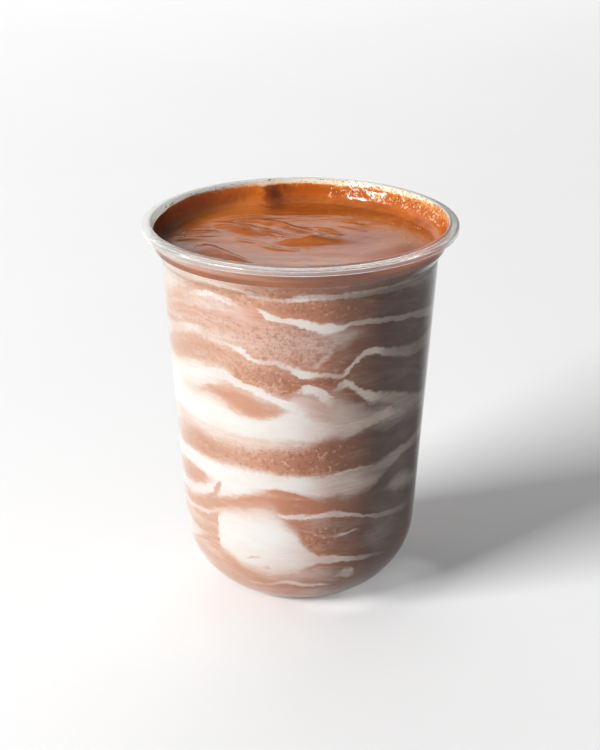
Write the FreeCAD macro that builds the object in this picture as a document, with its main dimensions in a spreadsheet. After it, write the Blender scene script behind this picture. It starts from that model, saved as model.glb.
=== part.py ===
import FreeCAD, Part
import math
import os
import Sketcher

# A chocolate protein smoothie in the clear plastic cup that it is served in.
# Millimetres, +Z up. The origin is the middle of the foot, on the surface that the cup stands on,
# and -Y is the side that faces the drinker.
#
#   cup               one thin moulding: rounded foot, drawn wall, shoulder, collar and a flanged rim
#   marbled_smoothie  the milk and chocolate drink, from the cup's floor up to the shoulder
#   chocolate_top     the chocolate layer that lies on it, with its stirred, rippled surface

# Driving dimensions, in millimetres and degrees.
SIZES = {
    # the moulding
    "wall": 0.75,
    "foot_radius": 17.5,
    "foot_arc": 8.0,
    "heel_arc": 25.0,
    "heel_turn": 66.0,
    "wall_slope": 4.14,
    "shoulder_foot": 106.7,
    "shoulder_round": 1.2,
    "collar_foot": 109.4,
    "collar_radius": 43.7,
    "collar_round": 0.5,
    # the rim
    "collar_top": 44.9,
    "flange_foot": 114.8,
    "skirt_radius": 47.5,
    "skirt_thickness": 0.7,
    "skirt_foot": 114.0,
    "flange_edge": 115.7,
    "lip_radius": 44.9,
    "rim_height": 116.4,
    "rim_round": 0.25,
    # the drink
    "layer_foot": 105.5,
    "drink_level": 109.2,
    "crest": 2.2,
    "meniscus_rise": 0.5,
    "meniscus_reach": 2.0,
    "swirl_rise": 0.12,
    "swirl_pitch": 8.5,
    "swirl_fade": 30.0,
    "grid_step": 2.0,
}

# The folds that stirring and pouring left in the chocolate. Each is a long mound: the place of its
# middle, its half length, its half width, the way it runs in degrees from +X, and its rise.
FOLD_SIZES = ("x", "y", "along", "across", "turn", "rise")
FOLDS = {
    "peak": (3.0, 0.5, 8.0, 2.6, 3.0, 1.5),
    "left_lens": (-18.5, 11.5, 6.5, 2.4, -38.0, 0.8),
    "long_fold": (-4.0, 14.5, 11.0, 2.0, -39.0, 0.55),
    "front_mound": (-23.0, -11.0, 8.5, 3.2, -54.0, 0.9),
    "edge_fold": (-34.0, 2.5, 6.0, 2.0, 10.0, 0.45),
    "back_fold": (16.5, 16.0, 5.0, 2.0, -28.0, 0.4),
    "right_swell": (27.0, -6.0, 9.0, 5.0, 35.0, 0.3),
}

# The skin of the outer face itself, for outlines that are given a skin's depth inside it.
OUTER_FACE = "0"
# Two places nearer than this are the same, in millimetres.
SAME_PLACE = 1e-4
# The shares of a blank that a cut may leave. Others show that the cut missed.
MOST_OF_CUP = 0.2
LEAST_OF_LAYER = 0.3
MOST_OF_LAYER = 0.95


def make_sheet(doc):
    """The sheet that holds every driving dimension under its own name."""
    sheet = doc.addObject("Spreadsheet::Sheet", "Sizes")
    cells = dict(SIZES)
    for fold, values in FOLDS.items():
        for size, value in zip(FOLD_SIZES, values):
            cells[f"{fold}_{size}"] = value
    for row, (alias, value) in enumerate(cells.items(), start=1):
        sheet.set(f"A{row}", alias)
        sheet.set(f"B{row}", str(value))
        sheet.setAlias(f"B{row}", alias)
    doc.recompute()
    return sheet


def origin_plane(body, role):
    """The plane of the body's own origin that has the role."""
    return next(item for item in body.Origin.OriginFeatures if item.Role == role)


def bowl_corners(skin):
    """The foot and heel of the cup's outline, a skin's depth inside the outer face.

    Each corner is a radius, a height and the radius of the arc that arrives there, or None
    after a straight line. The arcs keep their centres, so every skin is parallel to the outer face.
    """
    turn = "Sizes.heel_turn"
    slope = "Sizes.wall_slope"
    join_radius = f"Sizes.foot_radius + (Sizes.foot_arc - {skin}) * cos({turn})"
    join_height = f"Sizes.foot_arc - (Sizes.foot_arc - {skin}) * sin({turn})"
    heel_radius = (
        f"Sizes.foot_radius + (Sizes.foot_arc - Sizes.heel_arc) * cos({turn})"
        f" + (Sizes.heel_arc - {skin}) * cos({slope})"
    )
    heel_height = (
        f"Sizes.foot_arc + (Sizes.heel_arc - Sizes.foot_arc) * sin({turn})"
        f" - (Sizes.heel_arc - {skin}) * sin({slope})"
    )
    return [
        ("0", skin, None),
        ("Sizes.foot_radius", skin, None),
        (join_radius, join_height, f"Sizes.foot_arc - {skin}"),
        (heel_radius, heel_height, f"Sizes.heel_arc - {skin}"),
    ]


def wall_radius(skin, height):
    """The radius of the drawn wall at a height, a skin's depth inside the outer face."""
    heel_radius, heel_height = bowl_corners(skin)[-1][:2]
    return f"{heel_radius} + ({height} - ({heel_height})) * tan(Sizes.wall_slope)"


def collar_radius(skin, height):
    """The radius of the collar at a height, a skin's depth inside the outer face."""
    return (
        f"Sizes.collar_radius - {skin} + ({height} - Sizes.collar_foot)"
        " * (Sizes.collar_top - Sizes.collar_radius) / (Sizes.flange_foot - Sizes.collar_foot)"
    )


def side_corners(skin):
    """The outline from the heel up to the foot of the collar, a skin's depth inside."""
    return [
        (wall_radius(skin, "Sizes.shoulder_foot"), "Sizes.shoulder_foot", None),
        (f"Sizes.collar_radius - {skin}", "Sizes.collar_foot", None),
    ]


def arc_between(start, end, radius):
    """The arc from start to end that turns left round its centre."""
    chord = end - start
    middle = (start + end) * 0.5
    reach = math.sqrt(radius ** 2 - (chord.Length / 2) ** 2)
    left = FreeCAD.Vector(-chord.y, chord.x, 0).normalize()
    centre = middle + left * reach
    first = math.atan2(start.y - centre.y, start.x - centre.x)
    last = math.atan2(end.y - centre.y, end.x - centre.x)
    circle = Part.Circle(centre, FreeCAD.Vector(0, 0, 1), radius)
    return Part.ArcOfCircle(circle, first, last)


def draw_outline(body, name, corners):
    """A closed outline of radius and height, every corner held by its own expressions."""
    sketch = body.newObject("Sketcher::SketchObject", name)
    sketch.AttachmentSupport = (origin_plane(body, "XZ_Plane"), [""])
    sketch.MapMode = "FlatFace"
    points = [
        FreeCAD.Vector(float(sketch.evalExpression(radius)), float(sketch.evalExpression(height)), 0)
        for radius, height, arc in corners
    ]
    count = len(corners)
    for index in range(count):
        start = points[index]
        end = points[(index + 1) % count]
        arc = corners[(index + 1) % count][2]
        if arc is None:
            sketch.addGeometry(Part.LineSegment(start, end))
        else:
            radius = float(sketch.evalExpression(arc))
            sketch.addGeometry(arc_between(start, end, radius))
            held = sketch.addConstraint(Sketcher.Constraint("Radius", index, radius))
            sketch.setExpression(f"Constraints[{held}]", arc)
    for index in range(count):
        sketch.addConstraint(Sketcher.Constraint("Coincident", index, 2, (index + 1) % count, 1))
    for index, point in enumerate(points):
        radius, height = corners[index][:2]
        for kind, axis, size, now in (
            ("DistanceX", -2, radius, point.x),
            ("DistanceY", -1, height, point.y),
        ):
            if size == "0":
                sketch.addConstraint(Sketcher.Constraint("PointOnObject", index, 1, axis))
            else:
                held = sketch.addConstraint(Sketcher.Constraint(kind, -1, 1, index, 1, now))
                sketch.setExpression(f"Constraints[{held}]", size)
    return sketch


def turn_solid(body, kind, name, corners):
    """The outline turned all the way round the cup's axis, added to the body or cut from it."""
    sketch = draw_outline(body, f"{name}_outline", corners)
    feature = body.newObject(kind, name)
    feature.Profile = sketch
    feature.ReferenceAxis = (sketch, ["V_Axis"])
    feature.Angle = 360
    body.Document.recompute()
    return feature


def ring_edges(feature, rings):
    """The names of the feature's round edges at each given radius and height."""
    names = []
    for radius_text, height_text in rings:
        radius = float(feature.evalExpression(radius_text))
        height = float(feature.evalExpression(height_text))
        for number, edge in enumerate(feature.Shape.Edges, start=1):
            curve = edge.Curve
            if not isinstance(curve, Part.Circle):
                continue
            off = max(abs(curve.Center.z - height), abs(curve.Radius - radius))
            if off < SAME_PLACE:
                names.append(f"Edge{number}")
    return names


def round_rings(body, name, size, rings):
    """One fillet over the given rings of the body's last feature."""
    base = body.Tip
    fillet = body.newObject("PartDesign::Fillet", name)
    fillet.Base = (base, ring_edges(base, rings))
    fillet.setExpression("Radius", size)
    body.Document.recompute()
    return fillet


def make_cup(doc):
    """The cup: one turned moulding, hollowed by the drink's space, with rounded edges."""
    body = doc.addObject("PartDesign::Body", "cup")
    wall = "Sizes.wall"
    skirt_inside = "Sizes.skirt_radius - Sizes.skirt_thickness"
    outside = bowl_corners(OUTER_FACE) + side_corners(OUTER_FACE) + [
        ("Sizes.collar_top", "Sizes.flange_foot", None),
        (skirt_inside, "Sizes.flange_foot", None),
        (skirt_inside, "Sizes.skirt_foot", None),
        ("Sizes.skirt_radius", "Sizes.skirt_foot", None),
        ("Sizes.skirt_radius", "Sizes.flange_edge", None),
        ("Sizes.lip_radius", "Sizes.rim_height", None),
        ("0", "Sizes.rim_height", None),
    ]
    blank = turn_solid(body, "PartDesign::Revolution", "blank", outside)
    blank_volume = blank.Shape.Volume
    inside = bowl_corners(wall) + side_corners(wall) + [
        (collar_radius(wall, "Sizes.rim_height"), "Sizes.rim_height", None),
        ("0", "Sizes.rim_height", None),
    ]
    turn_solid(body, "PartDesign::Groove", "hollow", inside)
    if body.Shape.Volume > MOST_OF_CUP * blank_volume:
        raise RuntimeError("the hollow did not open the cup")
    foot_inside = (wall_radius(wall, "Sizes.shoulder_foot"), "Sizes.shoulder_foot")
    foot_outside = (wall_radius(OUTER_FACE, "Sizes.shoulder_foot"), "Sizes.shoulder_foot")
    round_rings(body, "shoulder_rounds", "Sizes.shoulder_round", [foot_inside, foot_outside])
    round_rings(body, "collar_rounds", "Sizes.collar_round", [
        ("Sizes.collar_radius - Sizes.wall", "Sizes.collar_foot"),
        ("Sizes.collar_radius", "Sizes.collar_foot"),
    ])
    round_rings(body, "rim_rounds", "Sizes.rim_round", [
        ("Sizes.skirt_radius", "Sizes.skirt_foot"),
        ("Sizes.skirt_radius", "Sizes.flange_edge"),
        ("Sizes.lip_radius", "Sizes.rim_height"),
        (collar_radius(wall, "Sizes.rim_height"), "Sizes.rim_height"),
    ])
    return body


def make_marbled_smoothie(doc):
    """The drink under the chocolate layer, against the cup's floor and wall."""
    body = doc.addObject("PartDesign::Body", "marbled_smoothie")
    wall = "Sizes.wall"
    outline = bowl_corners(wall) + [
        (wall_radius(wall, "Sizes.layer_foot"), "Sizes.layer_foot", None),
        ("0", "Sizes.layer_foot", None),
    ]
    turn_solid(body, "PartDesign::Revolution", "drink", outline)
    return body


def surface_height(sheet, x, y):
    """The height of the stirred surface: level, folds, a faint swirl and the rise at the wall."""
    height = sheet.get("drink_level")
    for fold in FOLDS:
        mid_x, mid_y, along, across, turn, rise = (sheet.get(f"{fold}_{size}") for size in FOLD_SIZES)
        angle = math.radians(turn)
        length = (x - mid_x) * math.cos(angle) + (y - mid_y) * math.sin(angle)
        width = (y - mid_y) * math.cos(angle) - (x - mid_x) * math.sin(angle)
        height += rise * math.exp(-((length / along) ** 2) - (width / across) ** 2)
    radius = math.hypot(x, y)
    turns = radius / sheet.get("swirl_pitch") + math.atan2(y, x) / math.tau
    swirl = sheet.get("swirl_rise") * math.exp(-radius / sheet.get("swirl_fade"))
    height += swirl * math.cos(math.tau * turns)
    shore = sheet.get("collar_radius") - sheet.get("wall")
    gap = max(shore - radius, 0.0)
    return height + sheet.get("meniscus_rise") * math.exp(-gap / sheet.get("meniscus_reach"))


def make_air(doc, sheet):
    """A block of the air over the drink, whose underside is the stirred surface."""
    step = sheet.get("grid_step")
    count = math.ceil(sheet.get("skirt_radius") / step)
    marks = [step * index for index in range(-count, count + 1)]
    grid = [[FreeCAD.Vector(x, y, surface_height(sheet, x, y)) for y in marks] for x in marks]
    surface = Part.BSplineSurface()
    surface.interpolate(grid)
    air = doc.addObject("Part::Feature", "air_over_drink")
    air.Shape = surface.toShape().extrude(FreeCAD.Vector(0, 0, sheet.get("rim_height")))
    return air


def make_chocolate_top(doc, sheet):
    """The chocolate layer: it fills the shoulder of the cup and ends in the stirred surface."""
    blank = doc.addObject("PartDesign::Body", "chocolate_blank")
    wall = "Sizes.wall"
    crest = "Sizes.drink_level + Sizes.crest"
    outline = [
        ("0", "Sizes.layer_foot", None),
        (wall_radius(wall, "Sizes.layer_foot"), "Sizes.layer_foot", None),
    ] + side_corners(wall) + [
        (collar_radius(wall, crest), crest, None),
        ("0", crest, None),
    ]
    turn_solid(blank, "PartDesign::Revolution", "layer", outline)
    foot = (wall_radius(wall, "Sizes.shoulder_foot"), "Sizes.shoulder_foot")
    round_rings(blank, "layer_shoulder_round", "Sizes.shoulder_round", [foot])
    collar = ("Sizes.collar_radius - Sizes.wall", "Sizes.collar_foot")
    round_rings(blank, "layer_collar_round", "Sizes.collar_round", [collar])
    top = doc.addObject("Part::Cut", "chocolate_top")
    top.Base = blank
    top.Tool = make_air(doc, sheet)
    doc.recompute()
    if not LEAST_OF_LAYER < top.Shape.Volume / blank.Shape.Volume < MOST_OF_LAYER:
        raise RuntimeError("the air did not shape the chocolate")
    return top


def write_parts(doc, parts):
    """Every part as its own file, once nothing in the document has failed."""
    doc.recompute()
    for item in doc.Objects:
        if "Invalid" in item.State or "Error" in item.State:
            raise RuntimeError(f"{item.Label} failed: {item.State}")
    os.makedirs("parts", exist_ok=True)
    for part in parts:
        if part.Shape.isNull() or not part.Shape.isValid():
            raise RuntimeError(f"{part.Label} has no sound shape")
        part.Shape.exportStep(f"parts/{part.Label}.step")
        print(part.Label, "volume", round(part.Shape.Volume), "mm3, solids", len(part.Shape.Solids))


document = FreeCAD.newDocument("smoothie")
sizes = make_sheet(document)
write_parts(document, [
    make_cup(document),
    make_marbled_smoothie(document),
    make_chocolate_top(document, sizes),
])
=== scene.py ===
import math
import random

import bmesh
import bpy
import numpy as np
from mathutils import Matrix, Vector, noise


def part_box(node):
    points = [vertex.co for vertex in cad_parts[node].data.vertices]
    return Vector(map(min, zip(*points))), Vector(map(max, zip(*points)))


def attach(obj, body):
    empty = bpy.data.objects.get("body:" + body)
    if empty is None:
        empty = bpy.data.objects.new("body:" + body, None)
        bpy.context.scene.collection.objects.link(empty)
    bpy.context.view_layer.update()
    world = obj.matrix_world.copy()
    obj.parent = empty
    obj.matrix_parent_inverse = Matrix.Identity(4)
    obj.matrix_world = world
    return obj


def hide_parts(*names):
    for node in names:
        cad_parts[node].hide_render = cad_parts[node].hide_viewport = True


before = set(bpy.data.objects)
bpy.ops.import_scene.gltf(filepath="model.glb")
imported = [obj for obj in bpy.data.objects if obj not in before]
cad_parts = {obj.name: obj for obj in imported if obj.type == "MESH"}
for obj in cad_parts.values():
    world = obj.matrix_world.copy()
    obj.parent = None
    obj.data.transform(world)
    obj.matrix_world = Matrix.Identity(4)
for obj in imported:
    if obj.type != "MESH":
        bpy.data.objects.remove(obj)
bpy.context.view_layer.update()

# ---- The table and the light ----
# A pale seamless table under one wide soft lamp on the left, in front and above. The far walls of
# the room are pale too, and the right side is dim, so the drink turns from light into shade. The
# camera stands in front of the cup, above its rim, and looks down at it.
MM = 0.001
CAMERA_BACK = 600 * MM
CAMERA_HEIGHT = 299.8 * MM
CAMERA_DIP = math.radians(21.26)
CAMERA_LENS = 100.7
LAMP_TURN = math.radians(57.5)
LAMP_LIFT = math.radians(24)
LAMP_REACH = 3.0
LAMP_AIM = 60 * MM
LAMP_WIDE = 1.55
LAMP_TALL = 0.90
LAMP_WATTS = 182.0
# A second, weaker lamp hangs behind the cup and shines straight down.
BACK_LAMP_PLACE = (-0.2, 2.1, 1.3)
BACK_LAMP_WIDE = 2.4
BACK_LAMP_TALL = 1.2
BACK_LAMP_WATTS = 34.0
TABLE_RINGS = [0.3, 1.0, 6.0]
AROUND_TABLE = 96


class Wire:
    """A value or colour on its way through a material. Arithmetic on it adds Math nodes."""

    def __init__(self, tree, socket):
        self.tree = tree
        self.socket = socket

    def node(self, kind, settings=None, values=None, out=0):
        """Adds a node: its settings first, then the values or links of its sockets."""
        made = self.tree.nodes.new("ShaderNode" + kind)
        for name, setting in (settings or {}).items():
            if name == "stops":
                ramp = made.color_ramp.elements
                while len(ramp) < len(setting):
                    ramp.new(1.0)
                for stop, (place, colour) in zip(ramp, setting):
                    stop.position = place
                    stop.color = (*colour, 1.0)[:4]
            elif name == "easing":
                made.color_ramp.interpolation = setting
            else:
                setattr(made, name, setting)
        for name, value in (values or {}).items():
            if isinstance(value, Wire):
                self.tree.links.new(value.socket, made.inputs[name])
            else:
                made.inputs[name].default_value = value
        return Wire(self.tree, made.outputs[out])

    def also(self, out):
        """Another output of the node that this wire comes from."""
        return Wire(self.tree, self.socket.node.outputs[out])

    def math(self, operation, *values):
        return self.node("Math", {"operation": operation}, dict(enumerate(values)))

    def __add__(self, other):
        return self.math("ADD", self, other)

    def __radd__(self, other):
        return self.math("ADD", other, self)

    def __sub__(self, other):
        return self.math("SUBTRACT", self, other)

    def __rsub__(self, other):
        return self.math("SUBTRACT", other, self)

    def __mul__(self, other):
        return self.math("MULTIPLY", self, other)

    def __rmul__(self, other):
        return self.math("MULTIPLY", other, self)

    def __truediv__(self, other):
        return self.math("DIVIDE", self, other)

    def __neg__(self):
        return self.math("MULTIPLY", self, -1.0)

    def __abs__(self):
        return self.math("ABSOLUTE", self)

    def at_least(self, other):
        """The greater of this value and another."""
        return self.math("MAXIMUM", self, other)

    def step(self, low, high):
        """0 below low and 1 above high, with a soft change between them."""
        settings = {"interpolation_type": "SMOOTHSTEP"}
        return self.node("MapRange", settings, {"Value": self, "From Min": low, "From Max": high})

    def mix(self, colour, share):
        """This colour with a share of another over it."""
        settings = {"data_type": "RGBA"}
        return self.node("Mix", settings, {0: share, 6: self, 7: colour}, out=2)

    def ramp(self, stops, easing="LINEAR"):
        """The colour that a row of stops gives this value."""
        return self.node("ValToRGB", {"stops": stops, "easing": easing}, {0: self})

    def grain(self, scale, detail=2.0, rough=0.5, out=0):
        """Noise at these coordinates: its value, or with out=1 its three-way colour."""
        values = {"Vector": self, "Scale": scale, "Detail": detail, "Roughness": rough}
        return self.node("TexNoise", {}, values, out=out)

    def stretch(self, x, y, z):
        """These coordinates scaled along each axis."""
        return self.node("VectorMath", {"operation": "MULTIPLY"}, {0: self, 1: (x, y, z)})

    def part(self, axis):
        """One of the three numbers of a vector or colour."""
        return self.node("SeparateXYZ", {}, {0: self}, out=axis)

    def azimuth(self):
        """Degrees round the cup's axis to these coordinates, from the front and to the right."""
        return self.math("ARCTAN2", self.part(0), -self.part(1)) * math.degrees(1.0)

    def reach(self):
        """How far these coordinates are from the cup's axis."""
        return self.math("SQRT", self.part(0) * self.part(0) + self.part(1) * self.part(1))


def finish_for(name):
    """A new material with an empty node tree, and a wire to start from."""
    made = bpy.data.materials.new(name)
    made.use_nodes = True
    made.node_tree.nodes.clear()
    start = Wire(made.node_tree, None)
    return made, start, start.node("TexCoord", out="Object")


def surface(start, shader):
    """Sends a shader to the material's output."""
    made = start.tree.nodes.new("ShaderNodeOutputMaterial")
    start.tree.links.new(shader.socket, made.inputs["Surface"])


def shown(name, verts, faces):
    """A new smooth object in the scene, from its points and faces."""
    mesh = bpy.data.meshes.new(name)
    mesh.from_pydata(verts, [], faces)
    mesh.polygons.foreach_set("use_smooth", [True] * len(mesh.polygons))
    made = bpy.data.objects.new(name, mesh)
    scene.collection.objects.link(made)
    return made


def area_lamp(name, wide, tall, watts, location):
    """A rectangular lamp in the scene. It shines straight down until it is turned."""
    data = bpy.data.lights.new(name, "AREA")
    data.shape = "RECTANGLE"
    data.size = wide
    data.size_y = tall
    data.energy = watts
    made = bpy.data.objects.new(name, data)
    made.location = location
    scene.collection.objects.link(made)
    return made


scene = bpy.context.scene
scene.view_settings.view_transform = "Standard"

camera_data = bpy.data.cameras.new("camera")
camera_data.lens = CAMERA_LENS
camera = bpy.data.objects.new("camera", camera_data)
camera.location = (0.0, -CAMERA_BACK, CAMERA_HEIGHT)
camera.rotation_euler = (math.pi / 2 - CAMERA_DIP, 0.0, 0.0)
scene.collection.objects.link(camera)
scene.camera = camera

lamp_way = Vector((
    -math.sin(LAMP_TURN) * math.cos(LAMP_LIFT),
    -math.cos(LAMP_TURN) * math.cos(LAMP_LIFT),
    math.sin(LAMP_LIFT),
))
lamp_place = lamp_way * LAMP_REACH + Vector((0.0, 0.0, LAMP_AIM))
lamp = area_lamp("soft_lamp", LAMP_WIDE, LAMP_TALL, LAMP_WATTS, lamp_place)
lamp.rotation_euler = lamp_way.to_track_quat("Z", "Y").to_euler()
back_lamp = area_lamp(
    "back_lamp", BACK_LAMP_WIDE, BACK_LAMP_TALL, BACK_LAMP_WATTS, BACK_LAMP_PLACE
)
back_lamp.visible_glossy = False

# The room by direction: bright far walls that dim to the right, a fill from the front, a ceiling.
world = bpy.data.worlds.new("room")
world.use_nodes = True
world.node_tree.nodes.clear()
sky = Wire(world.node_tree, None)
way = sky.node("TexCoord", out="Generated")
side = way.part(0)
back = way.part(1)
up = way.part(2)
wall_light = (back * 0.85 - side * 0.5).step(0.0, 0.9) * (1.0 - up.step(0.40, 0.62))
wall_light = wall_light * (1.0 - 0.7 * side.step(0.01, 0.12))
front_fill = (side * 0.75 - back * 0.65).step(0.1, 0.8) * (1.0 - up.step(0.3, 0.7))
brightness = 0.02 + 0.22 * front_fill + 0.24 * up.step(0.4, 0.95) + 0.92 * wall_light
glow = sky.node("Background", {}, {"Color": (1.0, 1.0, 1.0, 1.0), "Strength": brightness})
sky_out = world.node_tree.nodes.new("ShaderNodeOutputWorld")
world.node_tree.links.new(glow.socket, sky_out.inputs["Surface"])
scene.world = world

table_verts = [(0.0, 0.0, 0.0)]
table_faces = []
for reach in TABLE_RINGS:
    for step in range(AROUND_TABLE):
        angle = math.tau * step / AROUND_TABLE
        table_verts.append((reach * math.cos(angle), reach * math.sin(angle), 0.0))
for step in range(AROUND_TABLE):
    after = (step + 1) % AROUND_TABLE
    table_faces.append((0, 1 + step, 1 + after))
    for ring in range(len(TABLE_RINGS) - 1):
        inner = 1 + ring * AROUND_TABLE
        outer = inner + AROUND_TABLE
        table_faces.append((inner + step, outer + step, outer + after, inner + after))
table = shown("table", table_verts, table_faces)
table_paint, start, place = finish_for("table_white")
shade = place.grain(9.0, 4.0, 0.6).ramp([
    (0.3, (0.774, 0.774, 0.774)),
    (0.7, (0.786, 0.786, 0.786)),
])
paint = start.node("BsdfPrincipled", {}, {
    "Base Color": shade,
    "Roughness": 0.70 + 0.10 * place.grain(40.0, 3.0, 0.6),
    "Specular IOR Level": 0.2,
})
surface(start, paint)
table.data.materials.append(table_paint)

# Light that the clear heel gathers and drops on the table beside it: azimuth in degrees, distance
# from the axis in millimetres, and watts. It falls on the table alone.
HEEL_GLOW = [(26, 21, 0.021), (46, 22.5, 0.026), (66, 26, 0.024), (84, 32, 0.024)]
GLOW_DROP = 60 * MM
GLOW_SPREAD = math.radians(30)
GLOW_SOFTNESS = 1 * MM
table_only = bpy.data.collections.new("table_only")
table_only.objects.link(table)
for number, (azimuth, reach, watts) in enumerate(HEEL_GLOW):
    glow_data = bpy.data.lights.new(f"heel_glow_{number}", "SPOT")
    glow_data.energy = watts
    glow_data.spot_size = GLOW_SPREAD
    glow_data.spot_blend = 1.0
    glow_data.shadow_soft_size = GLOW_SOFTNESS
    heel_glow = bpy.data.objects.new(glow_data.name, glow_data)
    turn = math.radians(azimuth)
    heel_glow.location = (reach * MM * math.sin(turn), -reach * MM * math.cos(turn), GLOW_DROP)
    heel_glow.light_linking.receiver_collection = table_only
    heel_glow.light_linking.blocker_collection = table_only
    scene.collection.objects.link(heel_glow)

# ---- The clear cup ----
# Thin clear moulded plastic, turned in one piece: a foot with a large round heel, a tapered wall, a
# short shoulder, a collar, and a flanged rim with a skirt. Only the rim is a little hazy.
WALL = 0.75 * MM
RIM_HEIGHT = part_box("cup")[1][2]
FOOT_RADIUS = 17.5 * MM
FOOT_ARC = 8.0 * MM
HEEL_ARC = 25.0 * MM
HEEL_TURN = math.radians(66)
WALL_SLOPE = math.radians(4.14)
SHOULDER_FOOT = 106.7 * MM
COLLAR_FOOT = 109.4 * MM
COLLAR_RADIUS = 43.7 * MM
COLLAR_TOP = 44.9 * MM
FLANGE_FOOT = 114.8 * MM
SKIRT_RADIUS = 47.5 * MM
SKIRT_WALL = 0.7 * MM
SKIRT_FOOT = 114.0 * MM
FLANGE_EDGE = 115.7 * MM
LIP_RADIUS = 44.9 * MM
SHEET_INSIDE = 115.55 * MM
SHEET_OUTSIDE = 115.15 * MM
SHOULDER_ROUND = 1.2 * MM
COLLAR_ROUND = 0.5 * MM
RIM_ROUND = 0.25 * MM
# The plain wall's outline ends a little under the shoulder, where the rim's outline takes over.
WALL_END = 104.5 * MM
WALL_PITCH = 12 * MM
FOOT_STEPS = 6
HEEL_STEPS = 28
CORNER_STEPS = 5
AROUND = 288
ON_AXIS = 1e-7

HEEL_MIDDLE = (
    FOOT_RADIUS + (FOOT_ARC - HEEL_ARC) * math.cos(HEEL_TURN),
    FOOT_ARC + (HEEL_ARC - FOOT_ARC) * math.sin(HEEL_TURN),
)


def wall_radius(height, skin=0.0):
    """The radius of the cup at a height, a skin's depth inside its outer face."""
    if height >= COLLAR_FOOT:
        draft = (COLLAR_TOP - COLLAR_RADIUS) / (FLANGE_FOOT - COLLAR_FOOT)
        return COLLAR_RADIUS - skin + (height - COLLAR_FOOT) * draft
    heel_height = HEEL_MIDDLE[1] - (HEEL_ARC - skin) * math.sin(WALL_SLOPE)
    heel_radius = HEEL_MIDDLE[0] + (HEEL_ARC - skin) * math.cos(WALL_SLOPE)
    if height >= SHOULDER_FOOT:
        low = heel_radius + (SHOULDER_FOOT - heel_height) * math.tan(WALL_SLOPE)
        share = (height - SHOULDER_FOOT) / (COLLAR_FOOT - SHOULDER_FOOT)
        return low + share * (COLLAR_RADIUS - skin - low)
    if height >= heel_height:
        return heel_radius + (height - heel_height) * math.tan(WALL_SLOPE)
    join_height = FOOT_ARC - (FOOT_ARC - skin) * math.sin(HEEL_TURN)
    if height >= join_height:
        return HEEL_MIDDLE[0] + math.sqrt((HEEL_ARC - skin) ** 2 - (height - HEEL_MIDDLE[1]) ** 2)
    return FOOT_RADIUS + math.sqrt(max((FOOT_ARC - skin) ** 2 - (height - FOOT_ARC) ** 2, 0.0))


def foot_outline(skin, top, pitch):
    """The outline from the middle of the foot up the wall to a height, as radius and height."""
    points = [(0.0, skin), (FOOT_RADIUS * 0.5, skin), (FOOT_RADIUS, skin)]
    for step in range(1, FOOT_STEPS + 1):
        angle = (math.pi / 2 - HEEL_TURN) * step / FOOT_STEPS
        points.append((
            FOOT_RADIUS + (FOOT_ARC - skin) * math.sin(angle),
            FOOT_ARC - (FOOT_ARC - skin) * math.cos(angle),
        ))
    for step in range(1, HEEL_STEPS + 1):
        angle = HEEL_TURN + (WALL_SLOPE - HEEL_TURN) * step / HEEL_STEPS
        points.append((
            HEEL_MIDDLE[0] + (HEEL_ARC - skin) * math.cos(angle),
            HEEL_MIDDLE[1] - (HEEL_ARC - skin) * math.sin(angle),
        ))
    start = points[-1][1]
    rows = max(1, round((top - start) / pitch))
    for row in range(1, rows + 1):
        height = start + (top - start) * row / rows
        points.append((wall_radius(height, skin), height))
    return points


def rounded(points, rounds):
    """The outline with some corners turned into arcs: rounds maps a corner's number to a radius."""
    out = []
    for number, point in enumerate(points):
        size = rounds.get(number)
        if size is None:
            out.append(point)
            continue
        corner = Vector(point)
        before = (Vector(points[number - 1]) - corner).normalized()
        after = (Vector(points[(number + 1) % len(points)]) - corner).normalized()
        half = before.angle(after) / 2
        middle = corner + (before + after).normalized() * (size / math.sin(half))
        first = corner + before * (size / math.tan(half)) - middle
        last = corner + after * (size / math.tan(half)) - middle
        for step in range(CORNER_STEPS + 1):
            way = first.slerp(last, step / CORNER_STEPS).normalized()
            out.append(tuple(middle + way * size))
    return out


def turned(name, outline, closed=False, around=AROUND):
    """A mesh turned about the cup's axis. A point on the axis becomes a single vertex."""
    verts = []
    rows = []
    for radius, height in outline:
        rows.append((len(verts), radius > ON_AXIS))
        if radius > ON_AXIS:
            for step in range(around):
                angle = math.tau * step / around
                verts.append((radius * math.sin(angle), -radius * math.cos(angle), height))
        else:
            verts.append((0.0, 0.0, height))
    faces = []
    pairs = list(zip(rows, rows[1:] + rows[:1])) if closed else list(zip(rows, rows[1:]))
    for (low, low_ring), (high, high_ring) in pairs:
        for step in range(around):
            after = (step + 1) % around
            if low_ring and high_ring:
                faces.append((low + step, low + after, high + after, high + step))
            elif high_ring:
                faces.append((low, high + after, high + step))
            elif low_ring:
                faces.append((low + step, low + after, high))
    return shown(name, verts, faces)


outer_foot = foot_outline(0.0, WALL_END, WALL_PITCH)
inner_foot = foot_outline(WALL, WALL_END, WALL_PITCH)
rim_corners = [
    (wall_radius(SHOULDER_FOOT), SHOULDER_FOOT),
    (COLLAR_RADIUS, COLLAR_FOOT),
    (wall_radius(SHEET_INSIDE), SHEET_INSIDE),
    (SKIRT_RADIUS - SKIRT_WALL, SHEET_OUTSIDE),
    (SKIRT_RADIUS - SKIRT_WALL, SKIRT_FOOT),
    (SKIRT_RADIUS, SKIRT_FOOT),
    (SKIRT_RADIUS, FLANGE_EDGE),
    (LIP_RADIUS, RIM_HEIGHT),
    (wall_radius(RIM_HEIGHT, WALL), RIM_HEIGHT),
    (COLLAR_RADIUS - WALL, COLLAR_FOOT),
    (wall_radius(SHOULDER_FOOT, WALL), SHOULDER_FOOT),
]
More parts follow.
